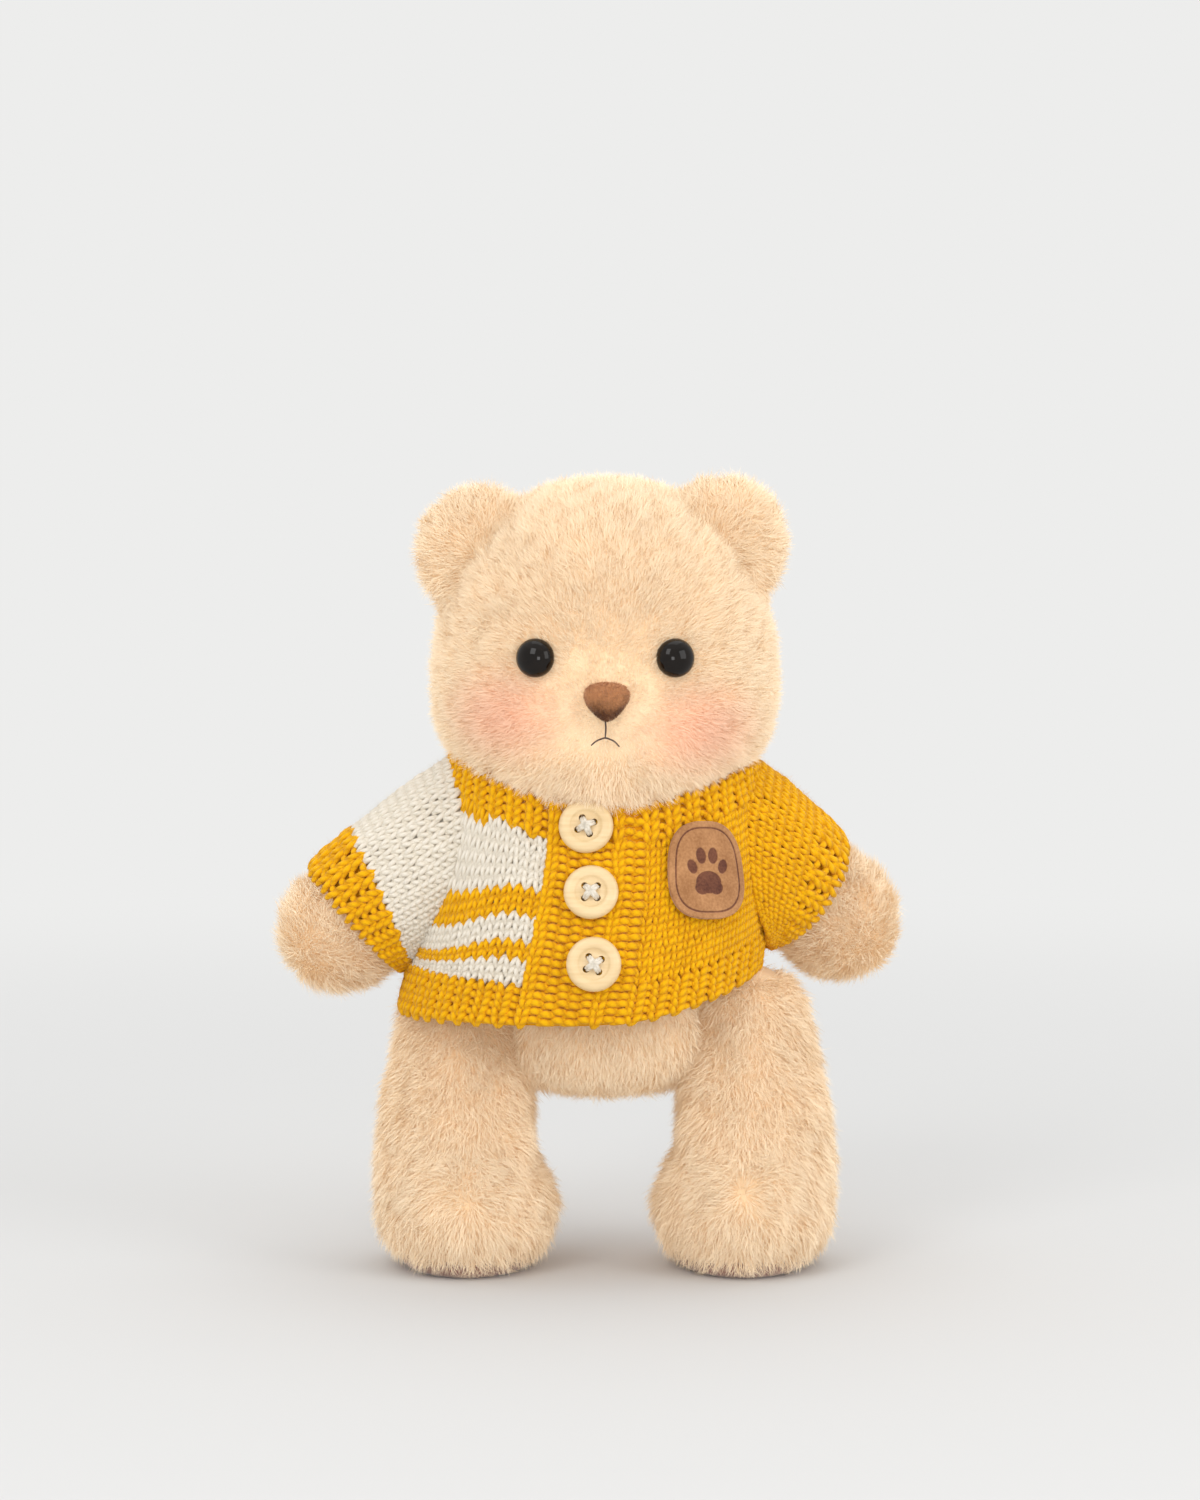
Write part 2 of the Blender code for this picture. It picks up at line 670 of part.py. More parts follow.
def make_buttons():
    """Wooden four-hole buttons, each sewn on with one crossed thread."""
    hole = 2.3
    top = BUTTON_THICKNESS
    profile = [(0, top - 0.8), (6.2, top - 0.8), (7.2, top), (9.2, top), (BUTTON_RADIUS, top - 0.8),
               (BUTTON_RADIUS, 0.8), (9.2, 0), (0, 0)]
    for number, (x, height) in enumerate(BUTTON_PLACES, 1):
        surface, outward = cardigan_front(x, height)
        place = surface + outward * 1.9
        button = lathe(f"button_{number}", profile, "button_wood", place, outward, 20)
        frame = turned(outward, place)
        drill = bmesh.new()
        for dx in (-hole, hole):
            for dy in (-hole, hole):
                bmesh.ops.create_cone(
                    drill, cap_ends=True, segments=8, radius1=1.2, radius2=1.2, depth=10,
                    matrix=frame @ Matrix.Translation((dx, dy, 1)))
        boolean(button, add_object(f"button_holes_{number}", drill))
        route = [(hole, hole, -0.9), (hole, hole, top - 0.8 + 0.9),
                 (-hole, -hole, top - 0.8 + 0.9), (-hole, -hole, -0.9), (-hole, hole, -0.9),
                 (-hole, hole, top - 0.8 + 2.3), (hole, -hole, top - 0.8 + 2.3), (hole, -hole, -0.9)]
        curve = bpy.data.curves.new(f"button_thread_{number}", "CURVE")
        curve.dimensions = "3D"
        curve.bevel_depth = 0.55 * MM
        curve.bevel_resolution = 2
        curve.use_fill_caps = True
        line = curve.splines.new("POLY")
        line.points.add(len(route) - 1)
        for point, local in zip(line.points, route, strict=True):
            point.co = (*((frame @ Vector(local)) * MM), 1)
        curve.materials.append(MATERIALS["button_yarn"])
        thread = bpy.data.objects.new(f"button_thread_{number}", curve)
        BEAR.objects.link(thread)
        NODES["torso"] += [button, thread]


def make_badge():
    """Suede badge with rounded corners, bent to the cardigan."""
    bm = bmesh.new()
    bmesh.ops.create_grid(bm, x_segments=7, y_segments=8, size=1)
    for vertex in bm.verts:
        u, v = vertex.co.x, vertex.co.y
        squeeze = (abs(u) ** 4 + abs(v) ** 4 + 1e-12) ** 0.25
        shrink = max(abs(u), abs(v)) / squeeze if squeeze > 1e-3 else 1
        x = BADGE_PLACE[0] + u * shrink * BADGE_WIDTH / 2
        height = BADGE_PLACE[1] + v * shrink * BADGE_TALL / 2
        place, outward = cardigan_front(x, height)
        vertex.co = place + outward * (GAP + 0.1)
    badge = add_object("badge", bm, "badge_suede")
    outward_panel(badge)
    thick = badge.modifiers.new("suede", "SOLIDIFY")
    thick.thickness = BADGE_THICKNESS * MM
    thick.offset = 1
    NODES["torso"].append(badge)


# ---------------------------------------------------------------- joints' empties
def parent_to_joints():
    """Each moving body hangs on an empty that stands on its joint's axis."""
    places = {"torso": Vector(), "head": NECK}
    for side in SIDES:
        places[f"arm_{side}"] = SHOULDER_JOINT[side]
        places[f"leg_{side}"] = HIP_JOINT[side]
    for body, place in places.items():
        empty = bpy.data.objects.new(f"joint_{body}", None)
        empty.location = place * MM
        BEAR.objects.link(empty)
        for obj in NODES[body]:
            obj.parent = empty
            obj.matrix_parent_inverse = Matrix.Translation(-place * MM)


make_torso()
make_head()
make_ears()
make_limbs()
make_foot_pads()
make_joints()
make_cardigan()
make_buttons()
make_badge()
parent_to_joints()

# The origin goes under the middle of the bear's box, which the right arm's reach puts off centre.
for obj in bpy.data.objects:
    if obj.parent is None:
        obj.location += ORIGIN_SHIFT * MM
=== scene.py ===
import json

import bpy
import numpy as np
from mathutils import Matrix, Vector

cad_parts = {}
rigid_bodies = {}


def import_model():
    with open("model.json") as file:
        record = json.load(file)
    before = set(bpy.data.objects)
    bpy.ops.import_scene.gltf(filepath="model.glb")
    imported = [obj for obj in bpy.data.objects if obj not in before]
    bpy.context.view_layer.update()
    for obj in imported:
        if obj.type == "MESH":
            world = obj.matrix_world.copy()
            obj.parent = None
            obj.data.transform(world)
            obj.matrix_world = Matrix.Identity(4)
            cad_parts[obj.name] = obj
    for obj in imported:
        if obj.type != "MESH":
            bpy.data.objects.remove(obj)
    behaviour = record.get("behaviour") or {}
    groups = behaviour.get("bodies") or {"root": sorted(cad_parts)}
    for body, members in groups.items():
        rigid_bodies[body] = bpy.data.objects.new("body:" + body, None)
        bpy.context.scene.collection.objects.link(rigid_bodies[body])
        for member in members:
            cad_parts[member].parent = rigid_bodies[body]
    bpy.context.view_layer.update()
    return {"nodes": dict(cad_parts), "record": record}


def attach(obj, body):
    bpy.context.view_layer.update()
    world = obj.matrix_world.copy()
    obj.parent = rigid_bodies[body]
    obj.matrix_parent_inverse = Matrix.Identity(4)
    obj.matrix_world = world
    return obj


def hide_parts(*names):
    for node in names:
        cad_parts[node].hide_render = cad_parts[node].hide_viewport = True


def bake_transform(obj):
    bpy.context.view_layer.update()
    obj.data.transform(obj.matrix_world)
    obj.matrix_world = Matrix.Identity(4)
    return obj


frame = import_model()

SIDES = {"left": 1, "right": -1}
# Sizes below are in millimetres from a point on the ground straight under the neck joint.
JOINTS = {joint["name"]: joint for joint in frame["record"]["behaviour"]["joints"]}
NECK = JOINTS["neck_swivel"]["pos_m"]
MIDDLE = np.array([NECK[0], NECK[1], 0]) * 1000


# ------------------------------------------------------------------ studio
# A pale seamless studio: a matt floor that fades into an even backdrop all round, a soft light
# high on the viewer's left, weaker ones on the right, low in front and above, and an even sky.
def linear(*rgb):
    """sRGB channels from 0 to 255 as a linear colour with alpha."""
    c = np.array(rgb) / 255
    return (*np.where(c <= 0.04045, c / 12.92, ((c + 0.055) / 1.055) ** 2.4), 1)


BACKDROP = linear(237, 237, 236)
AIM = Vector(MIDDLE * 0.001) + Vector((-0.0019, 0, 0.1935))
CAMERA_DISTANCE, CAMERA_RISE = 1.5625, 4.2

camera = bpy.data.objects.new("camera", bpy.data.cameras.new("camera"))
bpy.context.scene.collection.objects.link(camera)
bpy.context.scene.camera = camera
camera.data.lens, camera.data.sensor_width = 100, 36
rise = np.radians(CAMERA_RISE)
camera.location = AIM + Vector((0, -np.cos(rise), np.sin(rise))) * CAMERA_DISTANCE
camera.rotation_euler = (AIM - camera.location).to_track_quat("-Z", "Y").to_euler()
bpy.context.scene.view_settings.view_transform = "Standard"

world = bpy.data.worlds.new("studio")
bpy.context.scene.world = world
world.use_nodes = True
world.node_tree.nodes["Background"].inputs["Color"].default_value = (1, 1, 1, 1)
world.node_tree.nodes["Background"].inputs["Strength"].default_value = 0.98

for name, place, size, watts in (
    ("key_light", (-0.75, -1.35, 1.35), (0.75, 0.95), 8),
    ("fill_light", (1.5, -1.1, 0.8), (1.0, 1.2), 9),
    ("front_light", (0.1, -2.0, 0.22), (0.5, 0.7), 6),
    ("top_light", (0.1, 0.3, 1.7), (1.2, 1.2), 4.5),
):
    light = bpy.data.lights.new(name, "AREA")
    light.shape, light.size, light.size_y, light.energy = "RECTANGLE", *size, watts
    lamp = bpy.data.objects.new(name, light)
    lamp.location = place
    towards = Vector((0, 0, 0.15)) - lamp.location
    lamp.rotation_euler = towards.to_track_quat("-Z", "Y").to_euler()
    lamp.visible_camera = False
    bpy.context.scene.collection.objects.link(lamp)


def add_mesh(name, points, faces, materials, uvs=None, values=None, slots=None, smooth=True):
    """An object from points in millimetres and whole arrays of corner numbers, one array for each
    face size. uvs holds one row a corner, values one number a point, slots one number a face."""
    mesh = bpy.data.meshes.new(name)
    corners = np.concatenate([f.ravel() for f in faces]).astype(np.int32)
    sizes = np.concatenate([np.full(len(f), f.shape[1], np.int32) for f in faces])
    mesh.vertices.add(len(points))
    metres = (np.asarray(points) + MIDDLE) * 0.001
    mesh.vertices.foreach_set("co", metres.astype(np.float32).ravel())
    mesh.loops.add(len(corners))
    mesh.loops.foreach_set("vertex_index", corners)
    mesh.polygons.add(len(sizes))
    mesh.polygons.foreach_set("loop_start", (np.cumsum(sizes) - sizes).astype(np.int32))
    for key, rows in (uvs or {}).items():
        mesh.uv_layers.new(name=key).data.foreach_set("uv", rows.astype(np.float32).ravel())
    for key, row in (values or {}).items():
        attribute = mesh.attributes.new(key, "FLOAT", "POINT")
        attribute.data.foreach_set("value", row.astype(np.float32))
    for material in materials:
        mesh.materials.append(material)
    if slots is not None:
        mesh.polygons.foreach_set("material_index", slots.astype(np.int32))
    mesh.polygons.foreach_set("use_smooth", np.full(len(sizes), smooth))
    mesh.update(calc_edges=True)
    obj = bpy.data.objects.new(name, mesh)
    bpy.context.scene.collection.objects.link(obj)
    return obj


def grid_faces(rows, columns, around=True):
    """Corner numbers of the four-sided faces of a grid, joined round its columns unless told."""
    row, column = np.mgrid[0:rows - 1, 0:columns if around else columns - 1]
    after = (column + 1) % columns
    return np.stack([row * columns + column, row * columns + after, (row + 1) * columns + after,
                     (row + 1) * columns + column], -1).reshape(-1, 4)


def grid_uv(rows, columns, around=True):
    """One row a corner of grid_faces: across the columns in u, along the rows in v."""
    last = columns if around else columns - 1
    row, column = np.mgrid[0:rows - 1, 0:last]
    corner = [(row, column), (row, column + 1), (row + 1, column + 1), (row + 1, column)]
    places = [np.stack([c / last, r / (rows - 1)], -1) for r, c in corner]
    return np.stack(places, -2).reshape(-1, 2)


def new_material(name, roughness, **sockets):
    """A Principled material with the given socket values, its node tree and its shader."""
    material = bpy.data.materials.new(name)
    material.use_nodes = True
    tree = material.node_tree
    shader = tree.nodes["Principled BSDF"]
    shader.inputs["Roughness"].default_value = roughness
    for key, value in sockets.items():
        shader.inputs[key.replace("_", " ")].default_value = value
    return material, tree, shader


def node(tree, kind, inputs=(), **settings):
    """Adds a node: settings are its properties, and inputs are (socket, value or output) pairs."""
    made = tree.nodes.new(kind)
    for key, value in settings.items():
        setattr(made, key, value)
    for socket, value in inputs:
        if isinstance(value, bpy.types.NodeSocket):
            tree.links.new(value, made.inputs[socket])
        else:
            made.inputs[socket].default_value = value
    return made


def place_on(tree):
    """Object coordinates, in metres."""
    return node(tree, "ShaderNodeTexCoord").outputs["Object"]


def spread(tree, value, low, high, to_low=0.0, to_high=1.0, **settings):
    """The value carried from one range to another, and held inside it."""
    ends = ("From Min", low), ("From Max", high), ("To Min", to_low), ("To Max", to_high)
    return node(tree, "ShaderNodeMapRange", [("Value", value), *ends], **settings).outputs[0]


def studio_ring(name, reach, height, material):
    """Rings of the given reaches and heights round the middle, as one surface of the stage."""
    turn = np.linspace(0, 2 * np.pi, RING_SIDES, endpoint=False)
    rings = np.stack([reach[:, None] * np.cos(turn), reach[:, None] * np.sin(turn),
                      np.repeat(height[:, None], RING_SIDES, 1)], -1)
    made = add_mesh(name, rings.reshape(-1, 3), [grid_faces(RINGS, RING_SIDES)], [material])
    return made


RINGS, RING_SIDES = 24, 64
FLOOR_REACH, WALL_REACH, WALL_HEIGHT = 1400, 1600, 3200
FADE_START, FADE_END = 0.28, 1.3
floor_matt, tree, shader = new_material("studio_floor", 0.9, Specular_IOR_Level=0.1)
shader.inputs["Base Color"].default_value = (0.62, 0.62, 0.615, 1)
away = node(tree, "ShaderNodeVectorMath", [(0, place_on(tree))], operation="LENGTH")
fade = spread(tree, away.outputs["Value"], FADE_START, FADE_END, interpolation_type="SMOOTHSTEP")
glow = node(tree, "ShaderNodeEmission", [("Color", BACKDROP)])
mixed = node(tree, "ShaderNodeMixShader", [(0, fade), (1, shader.outputs[0]), (2, glow.outputs[0])])
tree.links.new(mixed.outputs[0], tree.nodes["Material Output"].inputs["Surface"])
reach = np.linspace(0.001, 1, RINGS) ** 1.5 * FLOOR_REACH
studio_ring("studio_floor", reach, np.zeros(RINGS), floor_matt)

backdrop_glow, tree, _ = new_material("studio_backdrop", 1)
glow = node(tree, "ShaderNodeEmission", [("Color", BACKDROP)])
tree.links.new(glow.outputs[0], tree.nodes["Material Output"].inputs["Surface"])
bend = np.linspace(0, 1, RINGS)
reach = FLOOR_REACH + WALL_REACH * np.sin(bend * np.pi / 2)
backdrop = studio_ring("studio_backdrop", reach, -1 + WALL_HEIGHT * bend**3, backdrop_glow)
backdrop.visible_diffuse = backdrop.visible_shadow = False


# ------------------------------------------------------------------ plush torso
# The body bag: rabbit-pile plush in cream over polyester stuffing, sewn inside out, turned and
# filled. The cardigan hides all but the lower belly, whose pile is brushed down to the crotch.
# The root colour is darker than the tip's: painted shade for the depth of the pile, which the skin
# under the pile takes too.
PILE_TIP, PILE_ROOT_SHADE = linear(246, 229, 201), linear(241, 213, 175)
DENSITY = 3.9  # strands a square millimetre, before a piece's own share
TUFT_SPACING = 3.4
STRAND_UV = 1.5 / 1024


def unit(v):
    """Each vector over its own length."""
    return v / np.maximum(np.linalg.norm(v, axis=-1, keepdims=True), 1e-9)


def noise(points, wavelength, seed):
    """Smooth noise from -1 to 1: the mean of twelve sine waves in fixed random directions."""
    random = np.random.default_rng(seed)
    waves = unit(random.normal(size=(12, 3))) * (2 * np.pi / wavelength)
    return np.sin(points @ waves.T + random.uniform(0, 6.28, 12)).mean(-1) * 2.2


def smooth_step(x, low, high):
    """0 below the low value and 1 above the high one, with a level start and end between."""
    t = np.clip((x - low) / (high - low), 0, 1)
    return t * t * (3 - 2 * t)


def outward_normals(grid):
    """Unit normals of a grid that is joined round its columns, from the slopes along each way."""
    around = np.roll(grid, -1, 1) - np.roll(grid, 1, 1)
    along = np.gradient(grid, axis=0)
    normal = unit(np.cross(around, along))
    middle = grid.mean((0, 1))
    return normal * np.sign(((grid - middle) * normal).sum(-1).mean())


def skin(name, grid, material):
    """The woven backing: the grid as a closed skin, capped at both ends. Its tip value is 0, so a
    pile material paints it in the root's colour, as painted shade under the pile.
    """
    rows, columns = grid.shape[:2]
    ends = np.stack([np.arange(columns)[::-1], np.arange(columns) + (rows - 1) * columns])
    faces = grid_faces(rows, columns)
    normal = outward_normals(grid)
    a, b, c = (grid.reshape(-1, 3)[faces[:, k]] for k in (0, 1, 2))
    if (np.cross(b - a, c - a) * normal.reshape(-1, 3)[faces[:, 0]]).sum() < 0:
        faces = faces[:, ::-1]
        ends = ends[:, ::-1]
    uv = np.concatenate([grid_uv(rows, columns), np.full((2 * columns, 2), 0.5)])
    return add_mesh(name, grid.reshape(-1, 3), [faces, ends], [material], {"OFBake": uv},
                    {"tip": np.zeros(rows * columns)})


def pile(name, grid, flow, material, length=8.0, lean=(30, 66), keep=None, density=1.0, seed=1,
         width=0.25, tuft=0.2, sink=1.2):
    """Strands of pile on a grid: each is a strip of three faces that starts under the skin, leans
    along the flow and bends over, its tip drawn towards the middle of its tuft."""
    random = np.random.default_rng(seed)
    rows, columns = grid.shape[:2]
    normal = outward_normals(grid)
    corner = grid_faces(rows, columns)
    flat, flat_normal = grid.reshape(-1, 3), normal.reshape(-1, 3)
    p = flat[corner]
    area = np.linalg.norm(np.cross(p[:, 2] - p[:, 0], p[:, 3] - p[:, 1]), axis=1) / 2
    count = int(area.sum() * DENSITY * density)
    cell = np.searchsorted(np.cumsum(area), random.uniform(0, area.sum(), count))
    cell = cell.clip(0, len(area) - 1)
    across, along = random.uniform(size=(2, count, 1))
    weights = [(1 - across) * (1 - along), across * (1 - along), across * along,
               (1 - across) * along]
    root = sum(w * p[cell, k] for k, w in enumerate(weights))
    out = unit(sum(w * flat_normal[corner[cell, k]] for k, w in enumerate(weights)))
    uv = np.concatenate([(cell % columns)[:, None] + across, (cell // columns)[:, None] + along], 1)
    uv = uv / [columns, rows - 1] * 0.99 + 0.002
    if keep is not None:
        kept = random.uniform(size=count) < keep(root, out)
        root, out, uv = root[kept], out[kept], uv[kept]
    count = len(root)
    wander = np.stack([noise(root, 13, seed + k) + 0.6 * noise(root, 5, seed + 9 + k)
                       for k in range(3)], -1)
    way = flow(root, out) + 0.42 * wander + random.normal(0, 0.38, (count, 3))
    way = unit(way - (way * out).sum(-1, keepdims=True) * out)
    size = length(root) if callable(length) else np.full(count, float(length))
    size = size * (1 + 0.22 * noise(root, 9, seed + 20)) * random.uniform(0.62, 1.12, count)
    size = size[:, None]
    angle = np.radians(np.array(lean)[:, None] + random.normal(0, 9, (1, count)))[..., None]
    cells = np.floor((root + 1.2 * wander) / TUFT_SPACING)
    scramble = np.array([[12.9, 78.2, 37.7], [39.4, 11.1, 83.2], [73.2, 52.2, 9.2]])
    jitter = np.sin(cells @ scramble) * 43.7
    jitter = jitter - np.floor(jitter) - 0.5
    middle = (cells + 0.5 + 0.35 * jitter) * TUFT_SPACING - 1.2 * wander
    start = root - out * sink
    half = start + size * 0.5 * (out * np.cos(angle[0]) + way * np.sin(angle[0]))
    end = half + size * 0.5 * (out * np.cos(angle[1]) + way * np.sin(angle[1]))
    pull = middle - root
    pull = pull - (pull * out).sum(-1, keepdims=True) * out
    pull = pull * tuft * np.clip(size / 8, 0, 1) ** 2
    half, end = half + 0.4 * pull, end + pull
    twist = random.uniform(-0.9, 0.9, (count, 1))
    blade = unit(np.cross(end - start, out))
    blade = blade * np.cos(twist) + np.cross(blade, unit(end - start)) * np.sin(twist)
    blade = blade * width / 2 * random.uniform(0.75, 1.25, (count, 1))
    points = np.stack([start - blade, start + blade, half + blade * 0.85, half - blade * 0.85, end],
                      1).reshape(-1, 3)
    first = np.arange(count)[:, None] * 5
    step = STRAND_UV
    corner_uv = ([(0, 0), (step, 0), (step, step), (0, step)],
                 [(0, step), (step, step), (step / 2, 2 * step)])
    uvs = np.concatenate([(uv[:, None] + np.array(c)).reshape(-1, 2) for c in corner_uv])
    return add_mesh(name, points, [first + [0, 1, 2, 3], first + [3, 2, 4]], [material],
                    {"OFBake": uvs}, {"tip": np.tile([0, 0, 0.55, 0.55, 1.0], count)}, smooth=False)


def noise_on(tree, place, scale, detail=2.0):
    """A noise pattern, its scale in waves a metre."""
    sockets = [("Vector", place), ("Scale", scale), ("Detail", detail)]
    return node(tree, "ShaderNodeTexNoise", sockets).outputs[0]


def reckon(tree, a, b, operation="ADD", **settings):
    """The two values added, or brought together by another operation."""
    sockets = [(0, a), (1, b)]
    return node(tree, "ShaderNodeMath", sockets, operation=operation, **settings).outputs[0]


def tint(tree, share, deep, light):
    """The first colour where the share is 0 and the second where it is 1."""
    sockets = [(0, share), (6, deep), (7, light)]
    return node(tree, "ShaderNodeMix", sockets, data_type="RGBA").outputs[2]


def new_group(name, inputs, output, kind):
    """An empty node group with named vector, colour or float inputs and one output."""
    group = bpy.data.node_groups.new(name, "ShaderNodeTree")
    for label, socket in inputs:
        group.interface.new_socket(label, in_out="INPUT", socket_type=f"NodeSocket{socket}")
    group.interface.new_socket(output, in_out="OUTPUT", socket_type=f"NodeSocket{kind}")
    return group, node(group, "NodeGroupInput").outputs


def pile_shade():
    """Group: cream of the pile, with painted shade deepening it towards the root, soft uneven
    patches and single hairs.
    """
    inputs = ("Vector", "Vector"), ("Tip", "Color"), ("Shaded root", "Color")
    group, given = new_group("pile_shade", inputs, "Color", "Color")
    height = node(group, "ShaderNodeAttribute", attribute_name="tip").outputs["Fac"]
    # Painted shade: each strand darkens from tip to root, and the skin, at tip 0, gets the root's
    # colour.
    base = tint(group, spread(group, height, 0.0, 0.85), given["Shaded root"], given["Tip"])
    patches = noise_on(group, given["Vector"], 55.0, 3.0)
    hairs = noise_on(group, given["Vector"], 900.0)
    tone = spread(group, reckon(group, patches, hairs), 0.7, 1.3, 0.94, 1.04)
    made = node(group, "ShaderNodeVectorMath", [(0, base), ("Scale", tone)], operation="SCALE")
    node(group, "NodeGroupOutput", [("Color", made.outputs[0])])
    return group


PILE_SHADE = pile_shade()


def pile_material(name):
    """Cream pile with a faint warm painted glow, emitted to stand in for light scattered through
    the hairs, and its shade's group node.
    """
    # Painted glow: a faint warm emission that lifts the pile's shade.
    material, tree, shader = new_material(name, 0.75, Specular_IOR_Level=0.25, Sheen_Weight=0.1,
                                          Sheen_Roughness=0.6, Emission_Strength=0.06,
                                          Emission_Color=linear(250, 205, 155))
    shade = node(tree, "ShaderNodeGroup", node_tree=PILE_SHADE)
    shade.inputs["Tip"].default_value, shade.inputs["Shaded root"].default_value = PILE_TIP, PILE_ROOT_SHADE
    tree.links.new(place_on(tree), shade.inputs["Vector"])
    tree.links.new(shade.outputs[0], shader.inputs["Base Color"])
    return material, tree, shader, shade


PLUSH = pile_material("cream_pile")[0]


def smooth_rows(table, rows):
    """Rows of a table, resampled along a cubic curve through them with slopes from neighbours."""
    table = np.array(table, float)
    at = np.linspace(0, len(table) - 1, rows)
    i = np.clip(at.astype(int), 0, len(table) - 2)
    t = (at - i)[:, None]
    slope = np.gradient(table, axis=0)
    return ((2 * t**3 - 3 * t**2 + 1) * table[i] + (t**3 - 2 * t**2 + t) * slope[i]
            + (3 * t**2 - 2 * t**3) * table[i + 1] + (t**3 - t**2) * slope[i + 1])


def loft(table, rows=44, columns=72):
    """Level ovals from a table of height, middle across, middle deep, half width, half depth."""
    z, x, y, wide, deep = smooth_rows(table, rows).T[..., None]
    turn = np.linspace(0, 2 * np.pi, columns, endpoint=False)
    return np.stack([x + wide * np.cos(turn), y + deep * np.sin(turn), z + 0 * turn], -1)


torso = loft([(173, 0, 2, 8, 8), (170, 0, 2, 24, 26), (160, 0, 2, 34, 38), (140, 0, 2, 44, 43),
              (120, 0, 2, 48, 44), (100, 0, 2, 47, 43), (88, 0, 2, 45, 42), (78, 0, 2, 40, 37),
              (72, 0, 2, 31, 30), (68.5, 0, 2, 19, 19), (67.3, 0, 2, 6, 6)])
room = 30.5 + 1.2 * np.maximum(0, torso[..., 2] - 120)  # between the legs, wider above them
torso[..., 0] = np.clip(torso[..., 0], -room, room)
belly = skin("torso_plush", torso, PLUSH)
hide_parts("torso_skin")
belly_pile = pile("torso_pile", torso, lambda p, n: np.array([0, 0, -1.0]) + 0 * p, PLUSH, 8.5,
                  keep=lambda p, n: (p[:, 2] < 106) * (np.abs(p[:, 0]) < 37), seed=11,
                  density=0.7)
for piece in (belly, belly_pile):
    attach(piece, "torso")


# ------------------------------------------------------------------ plush legs
# Stubby stuffed legs on disc joints: a round thigh that swells into a big foot. The pile runs
# down from the hip and opens in a whorl over the ball of the foot.
LEG = [(113, 49, 2, 3, 3), (111, 49, 2, 12, 13), (104, 49.5, 2, 20, 21),
       (92, 50, 2, 24.5, 25.5), (76, 51, -1, 26.5, 29.5), (62, 52, -4, 28.5, 33),
       (46, 52, -6, 30.5, 36), (32, 52, -6, 31, 37.5), (18, 52, -6.5, 30, 37),
       (9, 52, -6, 26.5, 33), (4, 52, -6, 21, 27), (2.6, 52, -6, 10, 13)]

for side, sign in SIDES.items():
    leg = loft(LEG) * [sign, 1, 1]
    inner = 31.3 - 0.6 * np.maximum(0, 42 - leg[..., 2])
    leg[..., 0] = sign * np.maximum(inner, sign * leg[..., 0])
    limb = skin(f"leg_plush_{side}", leg, PLUSH)
    ball = np.array([sign * 51, -39, 30])

    def leg_flow(p, n, ball=ball):
        """Down the leg, turning to point away from the ball of the foot near it."""
        away = unit(p - ball)
        distance = np.linalg.norm((p - ball) * [1, 0.8, 1], axis=1)
        near = 0.75 * np.exp(-(distance / 24) ** 2)[:, None]
        return unit(np.array([0, 0, -1.0]) * (1 - near) + away * near)

    coats = []
    for half, forward in (("front", 1), ("back", -1)):
        def leg_keep(p, n, sign=sign, forward=forward):
            """One half of the leg, from the hip down to the sole's seam, which shows a little
            more at the outer front of the right foot."""
            seam = (sign < 0) * 4.5 * smooth_step(-p[:, 0], 50, 70) * smooth_step(-p[:, 1], -8, 14)
            return (forward * (p[:, 1] + 6) < 0) * (p[:, 2] < 108) * (p[:, 2] > 3.5 + seam)

        coat = pile(f"leg_pile_{side}_{half}", leg, leg_flow, PLUSH, 9.0, lean=(26, 62),
                    keep=leg_keep, density=0.9, seed=21 + sign)
        points = np.empty(len(coat.data.vertices) * 3, np.float32)
        coat.data.vertices.foreach_get("co", points)
        points = points.reshape(-1, 3)
        points[:, 2] = np.maximum(points[:, 2], 0.0006)
        coat.data.vertices.foreach_set("co", points.ravel())
        coats.append(coat)
    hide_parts(f"leg_skin_{side}")
    for piece in (limb, *coats):
        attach(piece, f"leg_{side}")


# ------------------------------------------------------------------ suede soles
# Oval mauve-brown suede soles, sewn in under the feet: flat below, rounded up at the rim, where
# the pile hangs over the seam.
def paint(tree, shader, share, deep, light):
    """Links a blend of two colours to the base colour."""
    tree.links.new(tint(tree, share, deep, light), shader.inputs["Base Color"])


def emboss(tree, shader, height, strength, distance):
    """Links a bump of the given height, in metres, to the shader's normal."""
    sockets = [("Strength", strength), ("Distance", distance), ("Height", height)]
    tree.links.new(node(tree, "ShaderNodeBump", sockets).outputs[0], shader.inputs["Normal"])


suede, tree, shader = new_material("sole_suede", 0.95, Specular_IOR_Level=0.15, Sheen_Weight=0.4)
place = place_on(tree)
nap = noise_on(tree, place, 420.0, 5.0)
tone = spread(tree, reckon(tree, nap, noise_on(tree, place, 60.0)), 0.7, 1.3)
paint(tree, shader, tone, linear(132, 92, 84), linear(172, 132, 120))
emboss(tree, shader, nap, 0.35, 0.0003)

SOLE = [(6.4, 24.2, 31.0), (5.2, 25.3, 32.2), (3.4, 25.4, 32.2), (1.4, 24.0, 30.8),
        (0.35, 22.2, 29.0), (0.02, 20.0, 26.5), (0.0, 9.0, 12.0)]
for side, sign in SIDES.items():
    sole = loft([(z, sign * 51.6, -6.2, wide, deep) for z, wide, deep in SOLE], 30, 72)
    pad = skin(f"sole_{side}", sole, suede)
    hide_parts(f"foot_pad_{side}")
    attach(pad, f"leg_{side}")


